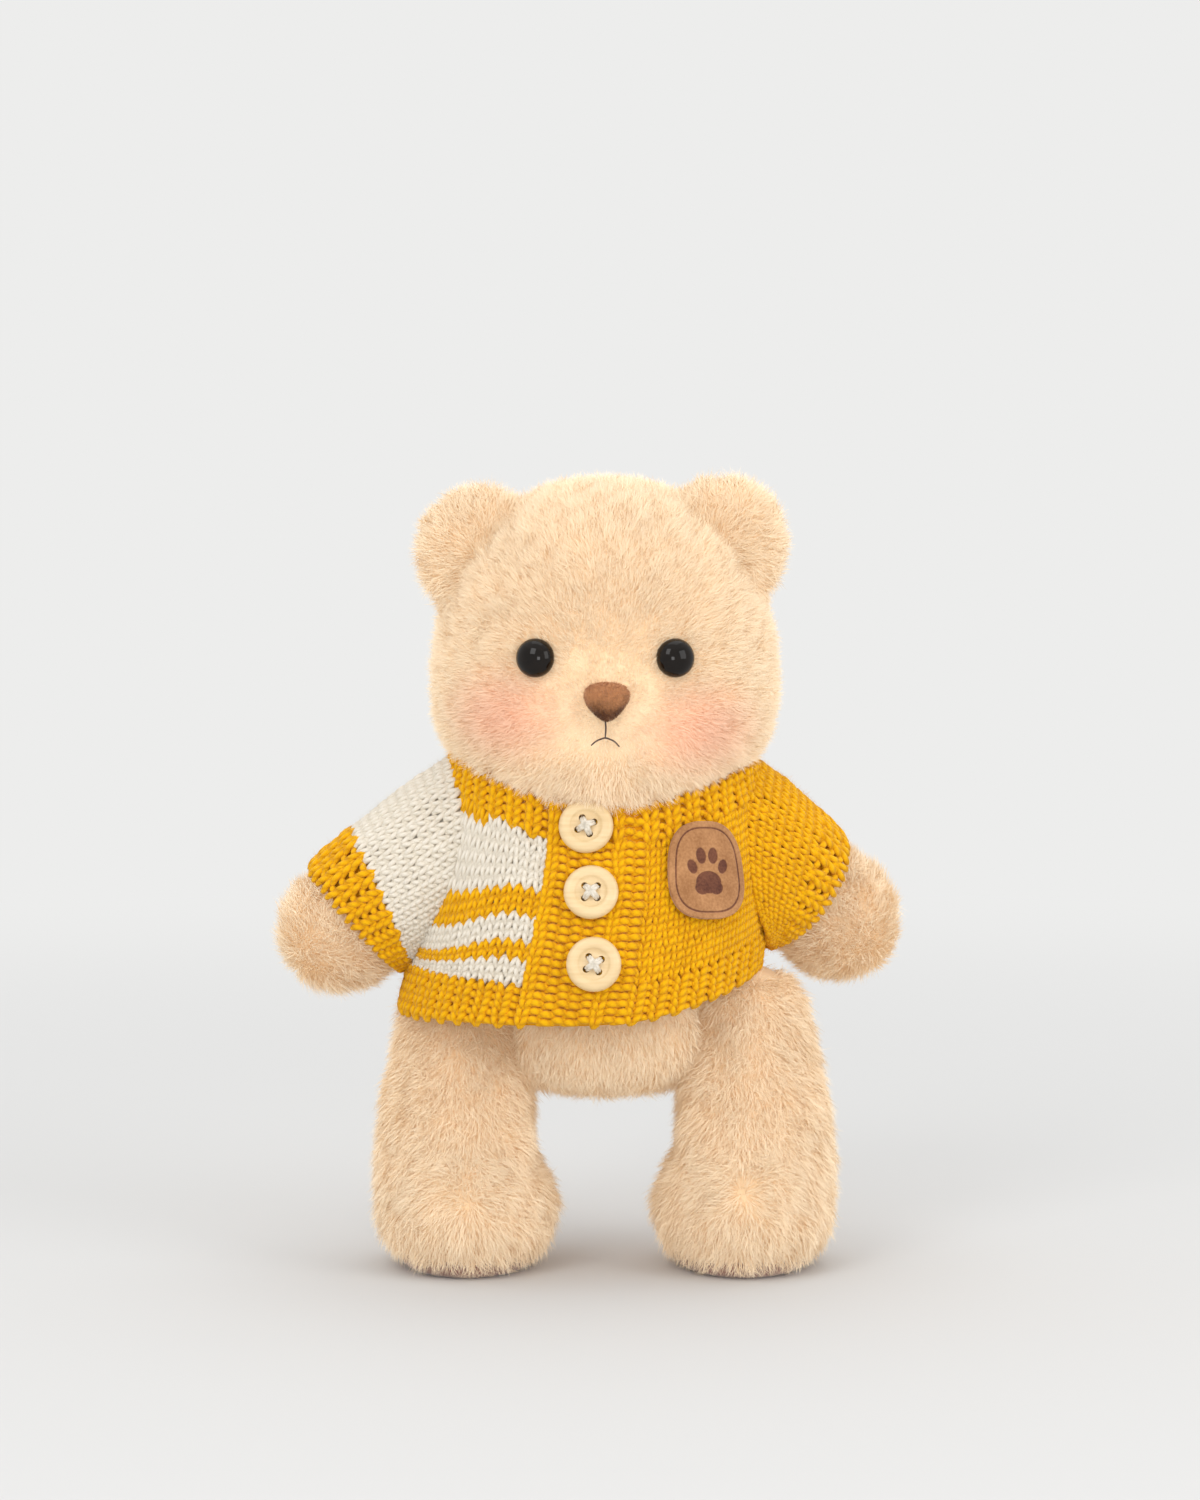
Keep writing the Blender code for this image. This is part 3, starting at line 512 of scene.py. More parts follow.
# ------------------------------------------------------------------ plush arms
# Short arms with a round paw, on disc joints at the shoulder. The pile runs to the wrist and
# whorls out from the end of the paw, which is the only part outside the sleeve.
ARM = [(-15, 3), (-13, 10), (-6, 16), (6, 17.5), (20, 17), (34, 17.5), (46, 20), (58, 21),
       (68, 18), (75, 12.5), (78.3, 6), (79, 1.5)]  # reach from the shoulder, radius
for side, sign in SIDES.items():
    start = np.array([sign * 55.0, 2, 164])
    axis = unit(np.array([0.583, 0.50, -0.64]) if sign > 0 else np.array([-0.758, 0, -0.652]))
    across = unit(np.cross(axis, [0, 1.0, 0]))
    third = np.cross(axis, across)
    reach, radius = smooth_rows(ARM, 40).T
    turn = np.linspace(0, 2 * np.pi, 60, endpoint=False)
    arm = (start + axis * reach[:, None, None] + radius[:, None, None]
           * (across * np.cos(turn)[:, None] + third * np.sin(turn)[:, None]))
    arm[..., 0] = sign * np.maximum(40.6, sign * arm[..., 0])
    limb = skin(f"arm_plush_{side}", arm, PLUSH)
    end = start + axis * 79 - np.array([0, 6.0, 0])

    def arm_flow(p, n, end=end, axis=axis):
        """Away from the end of the paw, as the whorl on a brushed paw lies."""
        return unit(p - end + 6 * axis)

    def arm_keep(p, n, start=start, axis=axis):
        """The paw, from a little inside the cuff."""
        return ((p - start) @ axis > 36) * 1.0

    coat = pile(f"arm_pile_{side}", arm, arm_flow, PLUSH, 8.5, lean=(22, 58), keep=arm_keep,
                seed=31 + sign)
    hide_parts(f"arm_skin_{side}")
    for piece in (limb, coat):
        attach(piece, f"arm_{side}")


# ------------------------------------------------------------------ plush head
# A big round stuffed head on a swivel disc. The pile is clipped short on the face and gets
# longer outwards, brushed away from the nose, and the cheeks are dusted with pink.
FACE = np.array([0, -56.0, 211])
HEAD_LEVEL, HEAD_WIDE, HEAD_DEEP, HEAD_UP, HEAD_DOWN = 218, 62, 54, 75, 42.5
CROWN_POWER, CHEEK_POWER = 2.2, 2.5


def head_grid(rows=64, columns=96):
    """A rounded egg on its side: radii 62 across and 54 deep, 75 high above the widest level and
    42.5 below it, with fuller cheeks than an ellipsoid, cut flat where it rests on the neck, and a
    chin that hangs a little over the collar."""
    rise = np.linspace(np.pi / 2 - 0.02, -np.pi / 2 + 0.02, rows)[:, None]
    turn = np.linspace(0, 2 * np.pi, columns, endpoint=False)
    flat, up = np.cos(rise), np.sin(rise)
    power = np.where(up > 0, CROWN_POWER, CHEEK_POWER)
    bulge = (flat**power + np.abs(up) ** power) ** (-1 / power)
    z = HEAD_LEVEL + bulge * up * np.where(up > 0, HEAD_UP, HEAD_DOWN)
    z = np.maximum(z, 176.3) + 0 * turn
    x = bulge * flat * HEAD_WIDE * np.cos(turn)
    y = -2 + bulge * flat * HEAD_DEEP * np.sin(turn)
    chin = smooth_step(204 - z, 0, 24) * np.exp(-(x / 36) ** 2) * smooth_step(-y, 2, 30)
    return np.stack([x, y - 4.5 * chin, z - 8.0 * chin], -1)


def face_radius(p):
    """Distance across the face from the nose, with the level of the eyes a little nearer."""
    d = p - FACE
    return np.sqrt(d[:, 0] ** 2 + (d[:, 2] * 1.05) ** 2 + (d[:, 1] * 0.6) ** 2)


HEAD_PLUSH, tree, shader, shade = pile_material("cream_pile_blushed")
BLUSH, BLUSH_STRENGTH = linear(248, 168, 148), 0.36
rosy = []
for centre in ((-36.5, -45, 209.5), (34.5, -46, 204.5)):
    centre = Vector(np.array(centre) + MIDDLE) * 0.001
    moved = node(tree, "ShaderNodeVectorMath", [(0, place_on(tree)), (1, centre)],
                 operation="SUBTRACT")
    scaled = node(tree, "ShaderNodeVectorMath", [(0, moved.outputs[0]), (1, (34, 24, 48))],
                  operation="MULTIPLY")
    length = node(tree, "ShaderNodeVectorMath", [(0, scaled.outputs[0])], operation="LENGTH")
    rosy.append(spread(tree, length.outputs["Value"], 1.15, 0.1, interpolation_type="SMOOTHSTEP"))
rosy = reckon(tree, reckon(tree, *rosy, "MAXIMUM"), BLUSH_STRENGTH, "MULTIPLY")
paint(tree, shader, rosy, shade.outputs[0], BLUSH)

EYE = 24.6, 230.6


def face_keep(p, n):
    """Bare of pile under the eyes and the nose."""
    kept = np.ones(len(p))
    for x, z, radius in ((EYE[0], EYE[1], 5.6), (-EYE[0], EYE[1], 5.6), (0.5, 215, 5.6)):
        kept *= np.hypot(p[:, 0] - x, p[:, 2] - z) + 40 * (p[:, 1] > 0) > radius
    return kept * (n[:, 2] > -0.97)


def face_length(p):
    """3 mm beside the nose, growing to 7 mm on the cheeks and the crown."""
    outwards, down = smooth_step(face_radius(p), 8, 52), smooth_step(200 - p[:, 2], 0, 14)
    return 3.0 + 4.0 * np.maximum(outwards, down)


def head_flow(p, n):
    """Outwards from the nose over the whole head, and down at the back."""
    return unit(p - FACE + [0, 0, 1.0]) + smooth_step(p[:, 1], 0, 40)[:, None] * [0, 0, -0.8]


head = head_grid()
ball = skin("head_plush", head, HEAD_PLUSH)
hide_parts("head_skin")
coats = []
for side, sign in SIDES.items():
    for half, forward, lean, density, seed in (("front", 1, (22, 52), 1.3, 41),
                                               ("back", -1, (24, 55), 0.8, 42)):
        def head_keep(p, n, sign=sign, forward=forward):
            """One quarter of the head, split at the ears and down the middle."""
            in_half = p[:, 1] < -14 if forward > 0 else p[:, 1] >= -14
            return face_keep(p, n) * in_half * (sign * p[:, 0] >= 0)

        coats.append(pile(f"head_pile_{half}_{side}", head, head_flow, HEAD_PLUSH, face_length,
                          lean=lean, keep=head_keep, density=density, seed=seed))
for piece in (ball, *coats):
    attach(piece, "head")


# ------------------------------------------------------------------ plush ears
# Two thick rounded ears of the same plush, hollowed at the front and sewn to the upper corners
# of the head, so that their fronts fold into shade and their rims stand proud.
for side, sign in SIDES.items():
    rise = np.linspace(np.pi / 2 - 0.03, -np.pi / 2 + 0.03, 40)[:, None]
    turn = np.linspace(0, 2 * np.pi, 64, endpoint=False)
    round_x, round_y, round_z = (np.cos(rise) * np.cos(turn), np.cos(rise) * np.sin(turn),
                                 np.sin(rise) + 0 * turn)
    inside = np.clip(1 - round_x**2 - round_z**2, 0, 1)
    deep = np.where(round_y < 0, round_y * 13.5 + 5 * inside**1.4, round_y * 12.5)
    lean = np.radians(35) * sign
    x, z = round_x * 22.5, round_z * 28.0
    middle = np.array([-42.0, -11, 263.0]) if sign < 0 else np.array([39.5, -11, 266.5])
    ear = middle + np.stack([x * np.cos(lean) + z * np.sin(lean), deep,
                             -x * np.sin(lean) + z * np.cos(lean)], -1)

    def ear_flow(p, n, middle=middle):
        """Outwards over the rim, and down the back."""
        return unit((p - middle) * [1, 0.3, 1])

    flap = skin(f"ear_plush_{side}", ear, PLUSH)
    coat = pile(f"ear_pile_{side}", ear, ear_flow, PLUSH, 8.5, lean=(30, 64), seed=51 + sign,
                tuft=0.3)
    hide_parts(f"ear_{side}")
    for piece in (flap, coat):
        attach(piece, "head")


# ------------------------------------------------------------------ eyes, nose and mouth
# Black domed safety eyes on stems, a flocked brown nose pressed in below them, and a mouth of
# dark thread: one upright stitch and two short ones that turn down.
def head_front(x, z):
    """Front of the head's skin at a place across and up, and its outward direction."""
    def depth(x, z):
        above = z > HEAD_LEVEL
        drop = (HEAD_LEVEL - z) / np.where(above, HEAD_UP, HEAD_DOWN)
        power = np.where(above, CROWN_POWER, CHEEK_POWER)
        share = (1 - np.abs(drop) ** power) ** (1 / power)
        return -2 - HEAD_DEEP * share * np.sqrt(1 - (x / (HEAD_WIDE * share)) ** 2)

    x, z = np.asarray(x, float), np.asarray(z, float)
    slopes = [depth(x + 0.5, z) - depth(x - 0.5, z), -np.ones_like(x),
              depth(x, z + 0.5) - depth(x, z - 0.5)]
    return np.stack([x, depth(x, z), z], -1), unit(np.stack(slopes, -1))


def turned(profile, place, outward, columns=56):
    """A turned form: rows of radius and height carried round the outward direction."""
    side = unit(np.cross(outward, [0, 0, 1.0]))
    up = np.cross(side, outward)
    turn = np.linspace(0, 2 * np.pi, columns, endpoint=False)[:, None]
    radius, height = np.array(profile, float).T[..., None, None]
    return place + height * outward + radius * (side * np.cos(turn) + up * np.sin(turn))


eye_gloss, tree, shader = new_material("eye_gloss", 0.06, Specular_IOR_Level=0.24)
specks = noise_on(tree, place_on(tree), 300.0, 3.0)
paint(tree, shader, specks, linear(6, 4, 3), linear(26, 18, 12))
tree.links.new(spread(tree, specks, 0.0, 1.0, 0.04, 0.09), shader.inputs["Roughness"])
dome = np.radians(np.linspace(2, 90, 18))
profile = [*zip(7.1 * np.sin(dome), 5.6 * np.cos(dome) + 2.2), (7.1, 1.2), (6.6, 0.4), (1.0, 0.2)]
for side, sign in SIDES.items():
    spot, out = head_front(sign * EYE[0], EYE[1])
    eye = skin(f"eye_dome_{side}", turned(profile, spot, out), eye_gloss)
    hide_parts(f"eye_{side}")
    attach(eye, "head")

flock, tree, shader = new_material("nose_flock", 0.95, Specular_IOR_Level=0.1, Sheen_Weight=0.3)
place = place_on(tree)
height = node(tree, "ShaderNodeSeparateXYZ", [(0, place)]).outputs["Z"]
# Painted light: the nose is lighter towards its top, where the light falls.
top = spread(tree, height, 0.210, 0.2195)
both = reckon(tree, noise_on(tree, place, 1100.0, 4.0), noise_on(tree, place, 180.0))
tone = spread(tree, reckon(tree, both, top), 0.95, 1.8)
paint(tree, shader, tone, linear(98, 58, 32), linear(188, 132, 88))
spot, out = head_front(0.5, 215.3)
rise = np.linspace(np.pi / 2 - 0.05, -np.pi / 2 + 0.05, 30)[:, None]
turn = np.linspace(0, 2 * np.pi, 48, endpoint=False)
up = np.cos(rise) * np.sin(turn)
across = np.cos(rise) * np.cos(turn) * 10.2 * (0.74 + 0.34 * up)
forward = np.maximum(np.sin(rise) * 5.4 + 2.6, 0.4) + 0 * turn
nose_up = unit(np.cross([1.0, 0, 0], out)) * -1
nose_up = nose_up * np.sign(nose_up[2])
nose = (spot + across[..., None] * [1, 0, 0] + (up * 6.9)[..., None] * nose_up
        + forward[..., None] * out)
button_nose = skin("nose_form", nose, flock)
nap = pile("nose_nap", nose, lambda p, n: np.array([0, 0, -1.0]) + 0 * p, flock, 1.0, lean=(10, 45),
           density=5, seed=61, width=0.13, tuft=0, sink=0.2, keep=lambda p, n: n @ out > -0.1)
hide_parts("nose")
for piece in (button_nose, nap):
    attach(piece, "head")


TILE_EDGE = 0.06  # bare share of a strand's bake tile at each edge


def tubes(paths, radii, sides=6, up=None):
    """Points, faces, yarn UV and bake UV of closed tubes, one along each path (paths, places, 3).
    Each has rings of the given radii and a flat cap at both ends, and its own tile in the bake."""
    count, places = paths.shape[:2]
    along = unit(np.gradient(paths, axis=1))
    up = np.broadcast_to([0, 0.3, 1.0] if up is None else up, paths.shape)
    across = unit(np.cross(along, up))
    lift = np.cross(across, along)
    turn = np.linspace(0, 2 * np.pi, sides, endpoint=False)[:, None]
    radii = np.broadcast_to(radii, (count, places))[..., None, None]
    spokes = across[:, :, None] * np.cos(turn) + lift[:, :, None] * np.sin(turn)
    rings = paths[:, :, None] + radii * spokes
    first = (np.arange(count) * places * sides)[:, None, None]
    wall = (first + grid_faces(places, sides)[None]).reshape(-1, 4)[:, ::-1]
    ends = np.stack([np.arange(sides), np.arange(sides)[::-1] + (places - 1) * sides])
    ends = (first + ends[None]).reshape(-1, sides)
    side_uv = grid_uv(places, sides).reshape(-1, 4, 2)[:, ::-1].reshape(-1, 2)
    yarn = np.concatenate([np.tile(side_uv, (count, 1)), np.full((2 * sides * count, 2), 0.5)])
    tiles = int(np.ceil(count**0.5))
    tile = np.stack([np.arange(count) % tiles, np.arange(count) // tiles], -1)
    bake = np.concatenate([np.repeat(tile, len(side_uv), 0), np.repeat(tile, 2 * sides, 0)])
    bake = (bake + TILE_EDGE + (1 - 2 * TILE_EDGE) * yarn) / tiles
    return rings.reshape(-1, 3), [wall, ends], yarn, bake


mouth_thread, tree, shader = new_material("mouth_thread", 0.8, Sheen_Weight=0.2)
uv = node(tree, "ShaderNodeUVMap", uv_map="yarn").outputs[0]
ply = node(tree, "ShaderNodeTexWave", [("Vector", uv), ("Scale", 3.0)], bands_direction="DIAGONAL")
# Painted shade: the diagonal ply stripes are darker in the grooves between the plies.
paint(tree, shader, ply.outputs["Fac"], linear(52, 36, 32), linear(96, 72, 62))
MOUTH = {"upper": ([0, 0.2, 0], [209.0, 206.0, 203.0]),
         "lower": ([-4.9, -3.3, -1.5, 0, 1.5, 3.3, 4.9],
                   [200.2, 201.6, 202.4, 202.8, 202.4, 201.5, 199.8])}
THREAD_RADII = 0.33 * np.sin(np.linspace(0.5, np.pi - 0.5, 18)) ** 0.4
for name, (x, z) in MOUTH.items():
    spots, out = head_front(*smooth_rows(np.stack([x, z], -1), 18).T)
    line = spots + out * (2.5 if name == "upper" else 2.8)
    points, faces, yarn, bake = tubes(line[None], THREAD_RADII, 8)
    thread = add_mesh(f"mouth_{name}", points, faces, [mouth_thread],
                      {"yarn": yarn, "OFBake": bake})
    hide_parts(f"mouth_stitch_{name}")
    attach(thread, "head")


# ------------------------------------------------------------------ cardigan panels
# A hand-size cardigan in double-knitting wool: stocking stitch columns about 4 mm wide on the
# two fronts and the back. Its right front is white with two mustard stripes, the rest mustard.
MEASURES = (-0.05, 0.0, 0.3, 0.7, 1.0, 1.17)
HALF_WIDTHS, HALF_DEPTHS = (66, 66, 64, 60.5, 57.5, 55.5), (58, 58, 57, 53, 46.5, 42.5)
HEM, PANEL, NECKBAND = (-0.05, 0.17), (0.17, 1.0), (1.0, 1.17)
YARN = 0.98  # radius of the yarn


def lean_of_hem(measure):
    """How far across the cardigan's middle stands: it hangs to the bear's right at the hem."""
    return -9 * np.maximum(0, 1 - measure) ** 1.5


def cardigan(angle, measure, offset=0.0):
    """Outer face of the cardigan. Angle 0 is the middle of the front and 90 degrees the bear's
    left; the measure is 0 at the hem, 1 under the neckband. Below the right armhole the rows dip,
    because the arm pulls them down."""
    angle, measure = np.broadcast_arrays(angle, measure)
    side, front = np.sin(angle), np.cos(angle)
    rise = np.sin(np.pi * np.clip((measure - 0.16) / 0.84, 0, 1))
    measure = measure - 0.2 * smooth_step(-side, 0.45, 0.97) * (front > -0.3) * rise
    low = 100.5 + 15 * np.maximum(0, side) ** 2
    high = np.where(front > 0, 161, 172) + (np.where(front > 0, 20, 9) - 2.5 * side) * side**2
    collar = 62 + 28 * np.maximum(0, front) ** 2
    z = np.where(measure <= 1, low + measure * (high - low), high + (measure - 1) * collar)
    wide = np.interp(measure, MEASURES, HALF_WIDTHS) + offset
    deep = np.interp(measure, MEASURES, HALF_DEPTHS) + offset
    return np.stack([lean_of_hem(measure) + side * wide, -front * deep, z], -1)


def knit_paths(surface, u, v, du, dv, shape):
    """Yarn paths of stitches at u, v on a surface, each du wide and dv tall. shape holds rows of
    share across, share up and height over the cloth in yarn radii."""
    across, up, height = np.array(shape, float).T
    wobble = np.random.default_rng(len(u)).normal(0, 0.05, (3, len(u), 1))
    uu, vv = u[:, None] + du * (across + wobble[0]), v[:, None] + dv * (up + wobble[1])
    step_u = surface(uu + 0.1 * du, vv) - surface(uu - 0.1 * du, vv)
    step_v = surface(uu, vv + 0.1 * dv) - surface(uu, vv - 0.1 * dv)
    out = unit(np.cross(step_u, step_v))
    return surface(uu, vv) + out * ((height + 3 * wobble[2]) * YARN)[..., None], out


LEG_RIGHT = [(0.04, -0.38, -0.1), (0.13, 0.02, 0.65), (0.23, 0.42, 1.0), (0.33, 0.82, 0.95),
             (0.41, 1.14, 0.55), (0.40, 1.38, -0.2)]
LEG_LEFT = [(-x, y, h) for x, y, h in LEG_RIGHT]
LEG_RADII = np.array([0.7, 1.0, 1.12, 1.12, 1.02, 0.7]) * YARN
BUMP = [(-0.72, 0.16, -0.3), (-0.4, 0.36, 0.55), (0.0, 0.46, 0.95), (0.4, 0.36, 0.55),
        (0.72, 0.16, -0.3)]
BUMP_RADII = np.array([0.75, 1.25, 1.4, 1.25, 0.75]) * YARN


def yarn_ply():
    """Group: the grooves between the plies of a twisted yarn, from its own UV, 0 deep to 1 high."""
    inputs = ("Vector", "Vector"), ("Along", "Float")
    group, given = new_group("yarn_ply", inputs, "Ply", "Float")
    parts = node(group, "ShaderNodeSeparateXYZ", [(0, given["Vector"])]).outputs
    along = reckon(group, parts["Y"], given["Along"], "MULTIPLY")
    turns = reckon(group, along, reckon(group, parts["X"], 3.0, "MULTIPLY"))
    ply = reckon(group, reckon(group, turns, 1.0, "PINGPONG"), 0.55, "POWER")
    node(group, "NodeGroupOutput", [("Ply", ply)])
    return group


YARN_PLY = yarn_ply()


def yarn_material(name, deep, light):
    """Soft wool yarn: darker in the grooves between its plies, which is painted shade, patchy,
    bumped by the twist.
    """
    material, tree, shader = new_material(name, 0.9, Specular_IOR_Level=0.15, Sheen_Weight=0.08,
                                          Sheen_Roughness=0.5)
    uv = node(tree, "ShaderNodeUVMap", uv_map="yarn").outputs[0]
    place = place_on(tree)
    ply = node(tree, "ShaderNodeGroup", node_tree=YARN_PLY)
    tree.links.new(uv, ply.inputs["Vector"])
    ply.inputs["Along"].default_value = 4.5
    ply = ply.outputs[0]
    fibre = noise_on(tree, place, 1500.0)
    both = reckon(tree, fibre, noise_on(tree, place, 130.0))
    high = reckon(tree, ply, spread(tree, both, 0.6, 1.4, -0.3, 0.3), use_clamp=True)
    # Painted shade: the yarn is darker in the grooves between its plies.
    paint(tree, shader, high, deep, light)
    emboss(tree, shader, reckon(tree, ply, fibre), 0.6, 0.0004)
    return material


MUSTARD = yarn_material("mustard_yarn", linear(200, 136, 0), linear(235, 176, 0))
WHITE = yarn_material("white_yarn", linear(212, 202, 184), linear(228, 220, 206))


def cloth_material(name, deep, light):
    """The inside of the fabric between the stitches: the same wool, finely felted, painted darker
    than the yarn for the shade between the stitches.
    """
    material, tree, shader = new_material(name, 0.95, Specular_IOR_Level=0.1)
    felted = noise_on(tree, place_on(tree), 600.0, 3.0)
    paint(tree, shader, felted, deep, light)
    emboss(tree, shader, felted, 0.4, 0.0003)
    return material


# Painted shade: both cloths are darker than their yarns, for the shade that falls between the
# stitches.
MUSTARD_CLOTH_SHADED = cloth_material("mustard_cloth", linear(192, 124, 2), linear(222, 154, 10))
WHITE_CLOTH_SHADED = cloth_material("white_cloth", linear(196, 186, 168), linear(226, 218, 204))


HAIRS = 12  # loose fibres a strand


def knitting(name, strands, material_list, seed):
    """One object from (paths, outward, radii, material number) sets, with loose fibres standing
    off the yarn, each a thin strip of one face that bends half way."""
    random = np.random.default_rng(seed)
    points, walls, caps, yarn, bake, slots, cap_slots, base = [], [], [], [], [], [], [], 0
    cap_yarn, cap_bake, hairs, hair_slots = [], [], [], []
    total = sum(len(paths) for paths, *_ in strands)
    tiles, done = int(np.ceil(total**0.5)), 0
    for paths, out, radii, slot in strands:
        made, (wall, ends), uv, _ = tubes(paths, radii, 6, out)
        count = len(paths)
        slot = np.broadcast_to(slot, count)
        tile = np.arange(done, done + count)
        tile = np.stack([tile % tiles, tile // tiles], -1)
        each = len(wall) // count
        wall_tile = np.repeat(tile, each * 4, 0)
        split = len(wall) * 4
        points.append(made)
        walls.append(wall + base)
        caps.append(ends + base)
        yarn.append(uv[:split])
        cap_yarn.append(uv[split:])
        bake.append((wall_tile + TILE_EDGE + (1 - 2 * TILE_EDGE) * uv[:split]) / tiles)
        cap_bake.append((np.repeat(tile, 12, 0) + 0.5) / tiles)
        slots.append(np.repeat(slot, each))
        cap_slots.append(np.repeat(slot, 2))
        base, done = base + len(made), done + count
        which = random.integers(0, count, count * HAIRS)
        spot = random.integers(1, paths.shape[1] - 1, len(which))
        root = paths[which, spot] + out[which, spot] * YARN * 0.5
        way = unit(out[which, spot] * 0.8 + random.normal(0, 0.7, (len(which), 3)))
        bent = way * random.uniform(0.8, 3.0, (len(which), 1))
        curl = random.normal(0, 0.5, (len(which), 3))
        thin = unit(np.cross(way, random.normal(0, 1, (len(which), 3)))) * 0.045
        hairs.append(np.stack([root - thin, root + thin, root + bent * 0.6 + curl,
                               root + bent + 1.6 * curl], 1))
        hair_slots.append(slot[which])
    hair = np.concatenate(hairs).reshape(-1, 3)
    first = base + np.arange(len(hair) // 4)[:, None] * 4
    hair_face = first + [0, 1, 3, 2]
    uvs = {"yarn": np.concatenate([*yarn, np.full((hair_face.size, 2), 0.3), *cap_yarn]),
           "OFBake": np.concatenate([*bake, np.full((hair_face.size, 2), 0.5 / tiles), *cap_bake])}
    return add_mesh(name, np.concatenate([*points, hair]),
                    [np.concatenate([*walls, hair_face]), np.concatenate(caps)], material_list, uvs,
                    slots=np.concatenate([*slots, *hair_slots, *cap_slots]))


def cloth_sheet(name, surface, u, v, material, inset=0.25, columns=40, rows=30, around=False):
    """The fabric itself: a grid just under the stitches, 1.2 mm thick."""
    uu = np.linspace(*u, columns, endpoint=not around)
    grid = surface(uu[None], np.linspace(*v, rows)[:, None])
    a, b = np.gradient(grid, axis=1), np.gradient(grid, axis=0)
    out = unit(np.cross(a, b))
    obj = add_mesh(name, (grid - out * inset).reshape(-1, 3), [grid_faces(rows, columns, around)],
                   [material], {"OFBake": grid_uv(rows, columns, around)})
    thick = obj.modifiers.new("thickness", "SOLIDIFY")
    thick.thickness, thick.offset = 0.0012, -1
    return obj


def knit_cells(u, v, columns, rows):
    """Places of a block of stitches in u and v, one stitch's width and height, and the number of
    each one's column and row."""
    du, dv = (u[1] - u[0]) / columns, (v[1] - v[0]) / rows
    column, row = (a.ravel() for a in np.meshgrid(np.arange(columns), np.arange(rows)))
    return u[0] + (column + 0.5) * du, v[0] + row * dv, du, dv, column, row


def band_angle(x):
    """Angle on the cardigan's front at which it is this far across, halfway up."""
    return np.arcsin((x + 2) / 61.5)


def under_sleeve(point):
    """Whether a place on the body lies inside an armhole, an upright oval at either side."""
    across_hole, up_hole = (point[:, 1] - 1) / 24.5, (point[:, 2] - 155) / 31.5
    return (across_hole**2 + up_hole**2 < 1) & (np.abs(point[:, 0]) > 40)


def worn(sheet, stitches, node_name):
    """Hands a piece of the cardigan's body to the frame: its cloth with the stitches over it."""
    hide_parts(node_name)
    for piece in (sheet, stitches):
        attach(piece, "torso")


STRIPES = np.array([0, 0, 0, 1, 1, 0, 0, 0, 1, 1, 1, 0, 0, 0, 0, 0, 0])  # 0 white, 1 mustard
YOKE = 167.5  # all stitches above this are mustard
BAND = band_angle(-23.5), band_angle(13.5)
PANELS = {
    "cardigan_front_right": ((-np.pi / 2, BAND[0]), 16, STRIPES, (0.065, 0.060)),
    "cardigan_front_left": ((BAND[1], np.pi / 2), 19, STRIPES * 0 + 1, (0.072, 0.060)),
    "cardigan_back": ((np.pi / 2, 1.5 * np.pi), 46, STRIPES * 0 + 1, (0.185, 0.066)),
}
for number, (name, (u, columns, row_colour, flat)) in enumerate(PANELS.items()):
    uu, vv, du, dv, _, row = knit_cells(u, PANEL, columns, len(STRIPES))
    shown = ~under_sleeve(cardigan(uu, vv))
    uu, vv, row = uu[shown], vv[shown], row[shown]
    yarn = np.where(cardigan(uu, vv)[:, 2] > YOKE, 1, row_colour[row])
    strands = []
    for shape in (LEG_RIGHT, LEG_LEFT):
        paths, out = knit_paths(cardigan, uu, vv, du, dv, shape)
        strands.append((paths, out, LEG_RADII, yarn))
    stitches = knitting(f"{name}_stitches", strands, [WHITE, MUSTARD], 70 + number)
    white = row_colour[0] == 0
    cloth = WHITE_CLOTH_SHADED if white else MUSTARD_CLOTH_SHADED
    sheet = cloth_sheet(f"{name}_cloth", cardigan, u, PANEL, cloth)
    worn(sheet, stitches, name)


# ------------------------------------------------------------------ ribs and button band
# Mustard one-and-one rib at the hem and the neck, picked up along the panels' edges, and a
# garter-stitch band down the front, edged by a column of knit stitches.
def ribbing(surface, u, v, columns, rows):
    """Strands of a rib: odd columns are raised knit stitches, even ones sunken purl bumps."""
    uu, vv, du, dv, column, row = knit_cells(u, v, columns, rows)
    knit, strands = column % 2 == 0, []
    for shape in (LEG_RIGHT, LEG_LEFT):
        shape = [(x * 1.45, y, h + 0.7) for x, y, h in shape]
        paths, out = knit_paths(surface, uu[knit], vv[knit], du, dv, shape)
        strands.append((paths, out, LEG_RADII * 1.22, 0))
    shape = [(x * 0.95, y, h - 0.2) for x, y, h in BUMP]
    paths, out = knit_paths(surface, uu[~knit], vv[~knit], du, dv, shape)
    strands.append((paths, out, BUMP_RADII * 1.1, 0))
    return strands


AROUND = BAND[1], BAND[0] + 2 * np.pi
for name, v, columns, rows, seed, flat in (("hem_rib", HEM, 86, 5, 81, (0.345, 0.015)),
                                           ("neckband", NECKBAND, 76, 4, 82, (0.300, 0.011))):
    strands = ribbing(cardigan, AROUND, v, columns, rows)
    stitches = knitting(f"{name}_stitches", strands, [MUSTARD], seed)
    sheet = cloth_sheet(f"{name}_cloth", cardigan, AROUND, v, MUSTARD_CLOTH_SHADED, -0.3, 120, 8)
    worn(sheet, stitches, name)


def band_surface(angle, measure):
    """The cardigan's face, raised for the band's second layer."""
    return cardigan(angle, measure, 0.8)


FULL_HEIGHT = HEM[0], NECKBAND[1]
uu, vv, du, dv, column, _ = knit_cells(BAND, FULL_HEIGHT, 9, 25)
knit, strands = np.isin(column, (0, 6)), []
for shape in (LEG_RIGHT, LEG_LEFT):
    paths, out = knit_paths(band_surface, uu[knit], vv[knit], du, dv, shape)
    strands.append((paths, out, LEG_RADII * 1.2, 0))
staggered = vv[~knit] + dv * 0.25 * (column[~knit] % 2)
paths, out = knit_paths(band_surface, uu[~knit], staggered, du, dv, BUMP)
strands.append((paths, out, BUMP_RADII * 1.18, 0))
stitches = knitting("button_band_stitches", strands, [MUSTARD], 83)
sheet = cloth_sheet("button_band_cloth", band_surface, BAND, FULL_HEIGHT, MUSTARD_CLOTH_SHADED, -0.3,
                    20, 50)
worn(sheet, stitches, "button_band")
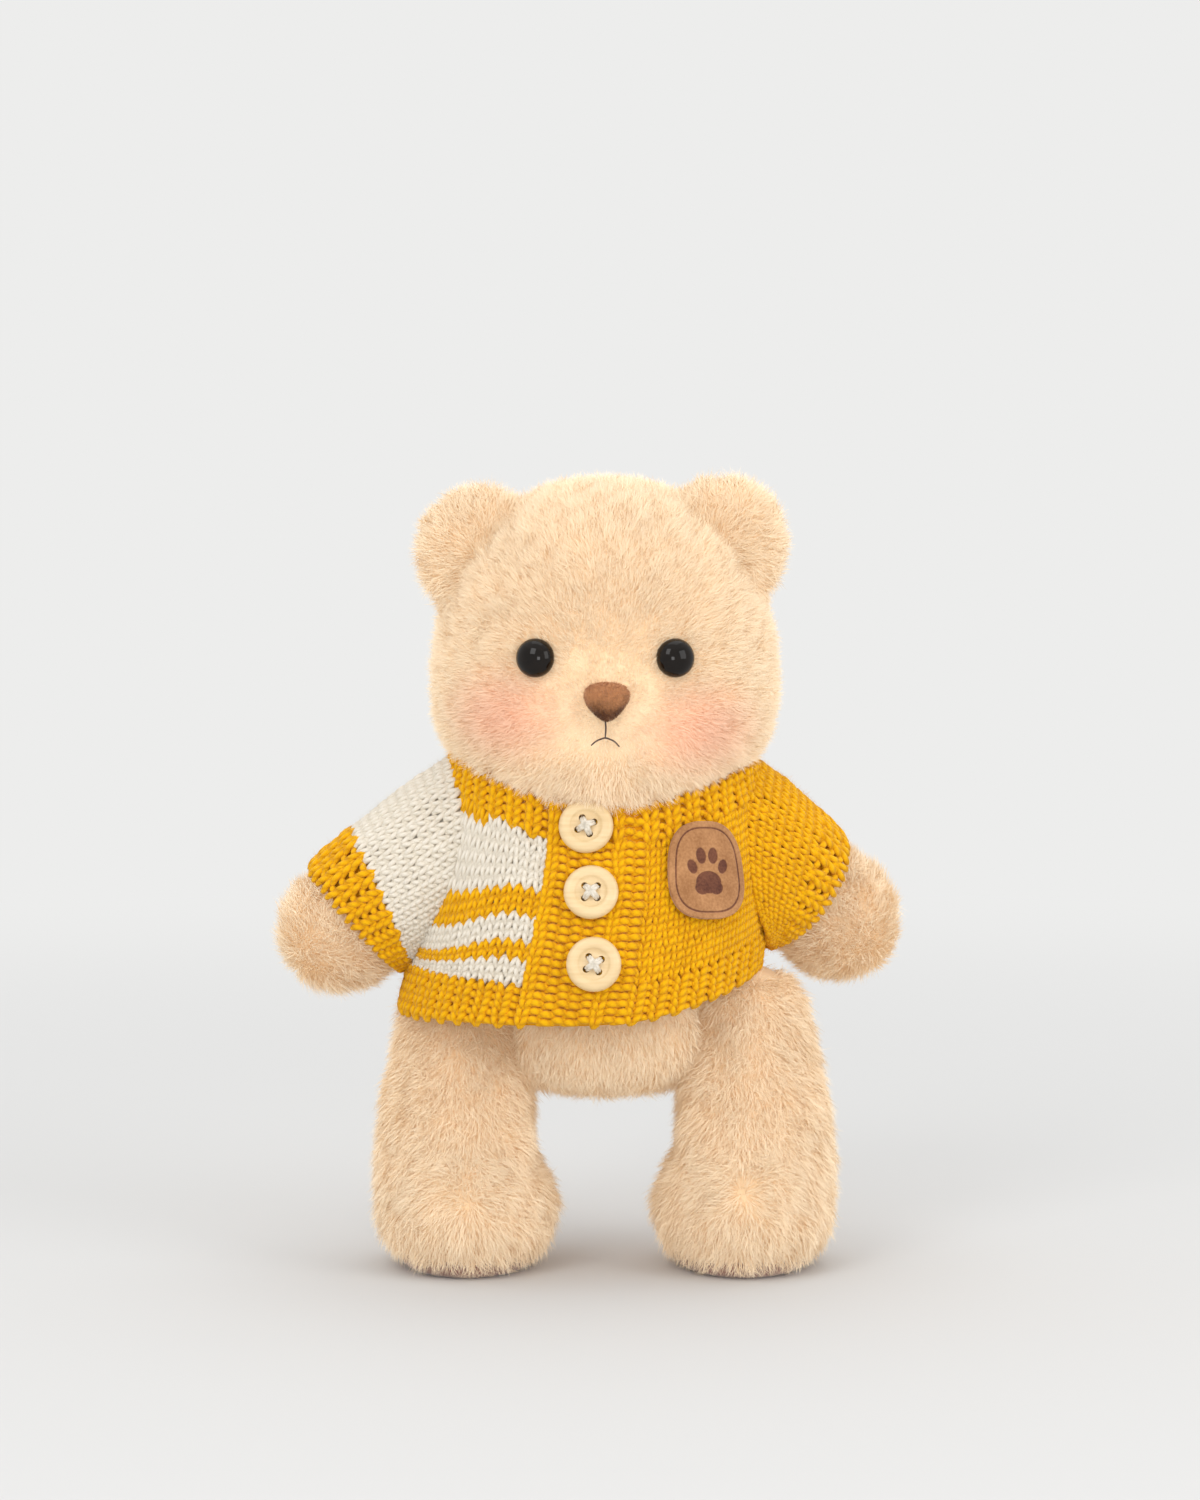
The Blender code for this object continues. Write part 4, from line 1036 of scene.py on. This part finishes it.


# ------------------------------------------------------------------ sleeves and cuffs
# Short drop sleeves set into the armholes, white on the right arm and mustard on the left, each
# with a mustard rib.
SLEEVES = {
    "right": dict(hole=(-60.5, 1, 156), rise=(3.5, 0, 34.5), front=(0, -27, 0),
                  end=(-93.5, 1, 130.9), end_rise=(-16.2, 0, 18.6), end_front=(0, -24.5, 0)),
    "left": dict(hole=(60.0, 2, 155), rise=(-3.0, 0, 33.5), front=(0, -27, 0),
                 end=(73.5, 16, 140.5), end_rise=(14.2, 0, 19.6), end_front=(8.5, -22.5, -5.0)),
}
# The way along which each sleeve turns from the cardigan to the arm, and the distances from the
# armhole's middle at which the turning starts and ends.
BENDS = {"right": ((-1.0, 0, 0), 3.5, 16.5), "left": ((0.855, 0.352, -0.382), 9, 17)}


def sleeve_surface(side):
    """From the armhole's ring to the cuff's ring, straight between them with a little fullness;
    the angle runs from the top over the front to the armpit."""
    s = {key: np.array(value, float) for key, value in SLEEVES[side].items()}
    sign = SIDES[side]

    def surface(angle, t):
        angle, t = np.broadcast_arrays(sign * angle, t)
        c, f = np.cos(angle)[..., None], np.sin(angle)[..., None]
        hole = s["hole"] + c * s["rise"] + f * s["front"] - f**2 * [sign * 8.0, 0, 0]
        end = s["end"] + c * s["end_rise"] + f * s["end_front"]
        t = t[..., None]
        full = 1 + 0.06 * np.sin(np.pi * np.clip(t, 0, 1))
        middle = s["hole"] * (1 - t) + s["end"] * t
        return middle + (hole * (1 - t) + end * t - middle) * full

    return surface


SLEEVE, CUFF, WHOLE_TURN = (0.0, 0.70), (0.70, 1.0), (0, 2 * np.pi)
for side, sign in SIDES.items():
    surface = sleeve_surface(side)
    right = side == "right"
    colour, cloth, slot = ((WHITE, WHITE_CLOTH_SHADED, "white_yarn") if right
                           else (MUSTARD, MUSTARD_CLOTH_SHADED, "mustard_yarn"))
    uu, vv, du, dv, *_ = knit_cells(WHOLE_TURN, SLEEVE, 42, 11 if right else 8)
    strands = []
    for shape in (LEG_RIGHT, LEG_LEFT):
        paths, out = knit_paths(surface, uu, vv, du, dv, shape)
        if (out * (paths - paths.mean((0, 1)))).sum() < 0:
            turned_in = [(x, y, -h) for x, y, h in shape]
            paths, out = knit_paths(surface, uu, vv, du, dv, turned_in)
            out = -out
        strands.append((paths, out, LEG_RADII, 0))
    stitches = knitting(f"sleeve_{side}_stitches", strands, [colour], 90 + sign)
    sheet = cloth_sheet(f"sleeve_{side}_cloth", surface, WHOLE_TURN, SLEEVE, cloth, 0.5,
                        60, 16, around=True)
    strands = ribbing(surface, WHOLE_TURN, CUFF, 42, 4 if right else 3)
    cuff_stitches = knitting(f"cuff_{side}_stitches", strands, [MUSTARD], 94 + sign)
    cuff = cloth_sheet(f"cuff_{side}_cloth", surface, WHOLE_TURN, CUFF, MUSTARD_CLOTH_SHADED, 0.5,
                       60, 8, around=True)
    way, first, last = BENDS[side]
    hole, way = MIDDLE + SLEEVES[side]["hole"], np.array(way)
    for name, piece, over_it, yarn, flat, held in (
        ("sleeve", sheet, stitches, slot, (0.160, 0.040 if right else 0.024), "draped"),
        ("cuff", cuff, cuff_stitches, "mustard_yarn", (0.150, 0.012), "stretched"),
    ):
        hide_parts(f"{name}_{side}")
        for part in (piece, over_it):
            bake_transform(part)


# ------------------------------------------------------------------ buttons and their yarn
# Three pale turned wooden buttons, 20 mm across, with a broad rounded rim, a dished middle and
# four holes, sewn on with a soft white yarn that crosses from hole to hole.
def cardigan_front(x, z, offset=0.0):
    """Point of the cardigan's front at a place across and up, and its outward direction: the
    measure is corrected by the height that it misses, over the panels' height, till it fits."""
    def at(x, z):
        measure = np.full(np.shape(x), 0.5)
        for _ in range(14):
            across = (x - lean_of_hem(measure)) / np.interp(measure, MEASURES, HALF_WIDTHS)
            angle = np.arcsin(np.clip(across, -1, 1))
            measure = measure + (z - cardigan(angle, measure)[..., 2]) / 63
        return cardigan(angle, measure)

    x, z = np.asarray(x, float), np.asarray(z, float)
    out = unit(np.cross(at(x + 1, z) - at(x - 1, z), at(x, z + 1) - at(x, z - 1)))
    return at(x, z) + out * offset, out


wood, tree, shader = new_material("button_wood", 0.42, Coat_Weight=0.15, Coat_Roughness=0.3)
long_way = node(tree, "ShaderNodeMapping", [("Vector", place_on(tree)),
                                            ("Rotation", (0.1, 0.25, 0.5)),
                                            ("Scale", (60, 60, 700))])
grain = noise_on(tree, long_way.outputs[0], 1.0, 5.0)
tone = spread(tree, grain, 0.3, 0.7)
paint(tree, shader, tone, linear(216, 185, 134), linear(229, 201, 154))
emboss(tree, shader, grain, 0.2, 0.0001)

BUTTON_PROFILE = smooth_rows([(0.15, 2.1), (3.6, 2.1), (5.2, 2.5), (6.2, 3.2), (7.8, 3.45),
                              (9.2, 3.0), (9.9, 2.0), (9.9, 1.0), (9.3, 0.25), (7.5, 0.0),
                              (0.15, 0.0)], 60)
BUTTONS = [(-6.7, 168.3, 20), (-5.0, 144.6, 0), (-4.2, 119.6, 12)]  # across, up, degrees turned
HOLE_RADIUS, HOLE_REACH = 1.25, 3.3
SEWING_RADII = 0.74 * np.array([0.8, 1.1, 1.2, 1.15, 1.1, 1.0, 0.95, 0.85, 0.7])
for number, (x, z, roll) in enumerate(BUTTONS, 1):
    spot, out = cardigan_front(x, z, 2.6)
    button = skin(f"wooden_button_{number}", turned(BUTTON_PROFILE, spot, out, 72), wood)
    side = unit(np.cross(out, [0, 0, 1.0]))
    up = np.cross(side, out)
    ways = []
    for quarter in range(4):
        angle = np.radians(45 + roll + 90 * quarter)
        ways.append(side * np.cos(angle) + up * np.sin(angle))
        bore = turned([(HOLE_RADIUS, 6), (HOLE_RADIUS, -2)], spot + ways[-1] * HOLE_REACH, out, 20)
        drill = skin("drill", bore, wood)
        cut = button.modifiers.new(f"hole_{quarter}", "BOOLEAN")
        cut.object, cut.solver = drill, "EXACT"
    graph = bpy.context.evaluated_depsgraph_get()
    drilled = bpy.data.meshes.new_from_object(button.evaluated_get(graph))
    button.modifiers.clear()
    button.data = drilled
    for drill in [o for o in bpy.data.objects if o.name.startswith("drill")]:
        bpy.data.objects.remove(drill)
    reach = np.linspace(0, 1, len(SEWING_RADII))[:, None]
    height = 3.6 + 0.5 * np.cos(reach * 2.2) - 3.2 * reach**6
    paths = np.array([spot + np.cross(way, out) * lane + way * (-0.6 + 4.1 * reach) + out * height
                      for way in ways for lane in (-0.45, 0.45)])
    sewn = [(paths, np.broadcast_to(out, paths.shape), SEWING_RADII, 0)]
    yarn = knitting(f"button_yarn_{number}", sewn, [WHITE], 100 + number)
    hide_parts(f"button_{number}")
    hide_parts(f"button_thread_{number}")
    for piece in (button, yarn):
        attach(piece, "torso")


# ------------------------------------------------------------------ badge
# A stiff tan suede tag sewn to the left chest, about 31 mm by 36 mm, with a plain paw print and
# a border line burned into it.
tag, tree, shader = new_material("badge_suede", 0.9, Specular_IOR_Level=0.15, Sheen_Weight=0.2)
place = place_on(tree)
pores = noise_on(tree, place, 1100.0, 3.0)
tone = spread(tree, reckon(tree, pores, noise_on(tree, place, 120.0)), 0.7, 1.3)
burn = node(tree, "ShaderNodeAttribute", attribute_name="burn").outputs["Fac"]
paint(tree, shader, burn, tint(tree, tone, linear(150, 103, 64), linear(184, 134, 90)),
      tint(tree, tone, linear(84, 46, 34), linear(122, 76, 54)))
emboss(tree, shader, pores, 0.5, 0.0002)

# Rows of a rounded oval from the middle of the front over the rim to the middle of the back:
# share is the part of the way out, and level the height over the cardigan.
TAG_HALF_WIDTH, TAG_HALF_HEIGHT, TAG_THICKNESS, TAG_POWER = 15.6, 18, 1.8, 2.7
share = np.concatenate([np.linspace(0.004, 0.985, 76), [1.0, 1.0, 0.985],
                        np.linspace(0.95, 0.004, 6)])[:, None]
level = np.concatenate([np.full(76, TAG_THICKNESS), [1.6, 0.2, 0.0], np.zeros(6)])[:, None]
turn = np.linspace(0, 2 * np.pi, 176, endpoint=False)
edge = np.abs(np.cos(turn)) ** TAG_POWER + np.abs(np.sin(turn)) ** TAG_POWER
edge = edge ** (-1 / TAG_POWER)
a = share * edge * np.cos(turn) * (TAG_HALF_WIDTH - 1.2 * np.sin(turn))
b = share * edge * np.sin(turn) * TAG_HALF_HEIGHT
front = level > TAG_THICKNESS - 0.1


def oval(x, y, wide, tall, lean=0.0):
    """1 inside a leaning oval of the given half sizes, fading to 0 over a quarter millimetre."""
    c, s = np.cos(lean), np.sin(lean)
    across, up = (a - x) * c + (b - y) * s, -(a - x) * s + (b - y) * c
    beyond = (np.hypot(across / wide, up / tall) - 1) * min(wide, tall)
    return 1 - smooth_step(beyond, -0.12, 0.15)


from_edge = (1 - share) * np.hypot(a, b) / np.maximum(share, 0.01)
line = 1 - smooth_step(np.abs(from_edge - 2.5), 0.2, 0.42)
paw = np.max([oval(0, -4.6, 5.3, 4.1), oval(-2.9, -6.6, 2.9, 2.5), oval(2.9, -6.6, 2.9, 2.5),
              oval(-6.4, 1.2, 1.9, 2.7, 0.35), oval(-2.5, 5.2, 2.0, 3.0, 0.1),
              oval(2.5, 5.2, 2.0, 3.0, -0.1), oval(6.4, 1.2, 1.9, 2.7, -0.35)], 0)
burned = np.maximum(line, paw) * front
spot, out = cardigan_front(35.4, 152.0, 2.7)
badge_side = unit(np.cross([0, 0, 1.0], out)) * -1
badge_side = badge_side * np.sign(badge_side[0])
badge_up = unit(np.cross(badge_side, out))
badge_up = badge_up * np.sign(badge_up[2])
tilt = np.radians(3)
badge_side, badge_up = (badge_side * np.cos(tilt) - badge_up * np.sin(tilt),
                        badge_up * np.cos(tilt) + badge_side * np.sin(tilt))
depth = level - 0.22 * burned - 0.5 * a**2 / 115
badge = spot + a[..., None] * badge_side + b[..., None] * badge_up + depth[..., None] * out
badge = skin("suede_badge", badge, tag)
marks = badge.data.attributes.new("burn", "FLOAT", "POINT")
marks.data.foreach_set("value", burned.ravel().astype(np.float32))
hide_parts("badge")
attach(badge, "torso")


# ------------------------------------------------------------------ stuffing and joint fittings
# Sealed in the plush: loose white polyester fibre, and the moulded discs and washers of the
# safety joints. They keep the shapes of the solid model.
def pale_material(name, roughness, scale, deep, light, **sockets):
    """A pale material with a fine patchy grain at the given scale."""
    material, tree, shader = new_material(name, roughness, **sockets)
    grain = noise_on(tree, place_on(tree), scale, 4.0)
    paint(tree, shader, grain, deep, light)
    emboss(tree, shader, grain, 0.2, 0.0002)
    return material


fibre = pale_material("stuffing_fibre", 1.0, 500.0, linear(225, 225, 222), linear(250, 250, 248),
                      Sheen_Weight=0.3)
moulded = pale_material("joint_plastic", 0.5, 60.0, linear(224, 223, 218), linear(238, 237, 232))
for name, obj in frame["nodes"].items():
    if "stuffing" in name or "disc" in name or "washer" in name:
        for number in range(len(obj.material_slots)):
            obj.material_slots[number].material = fibre if "stuffing" in name else moulded
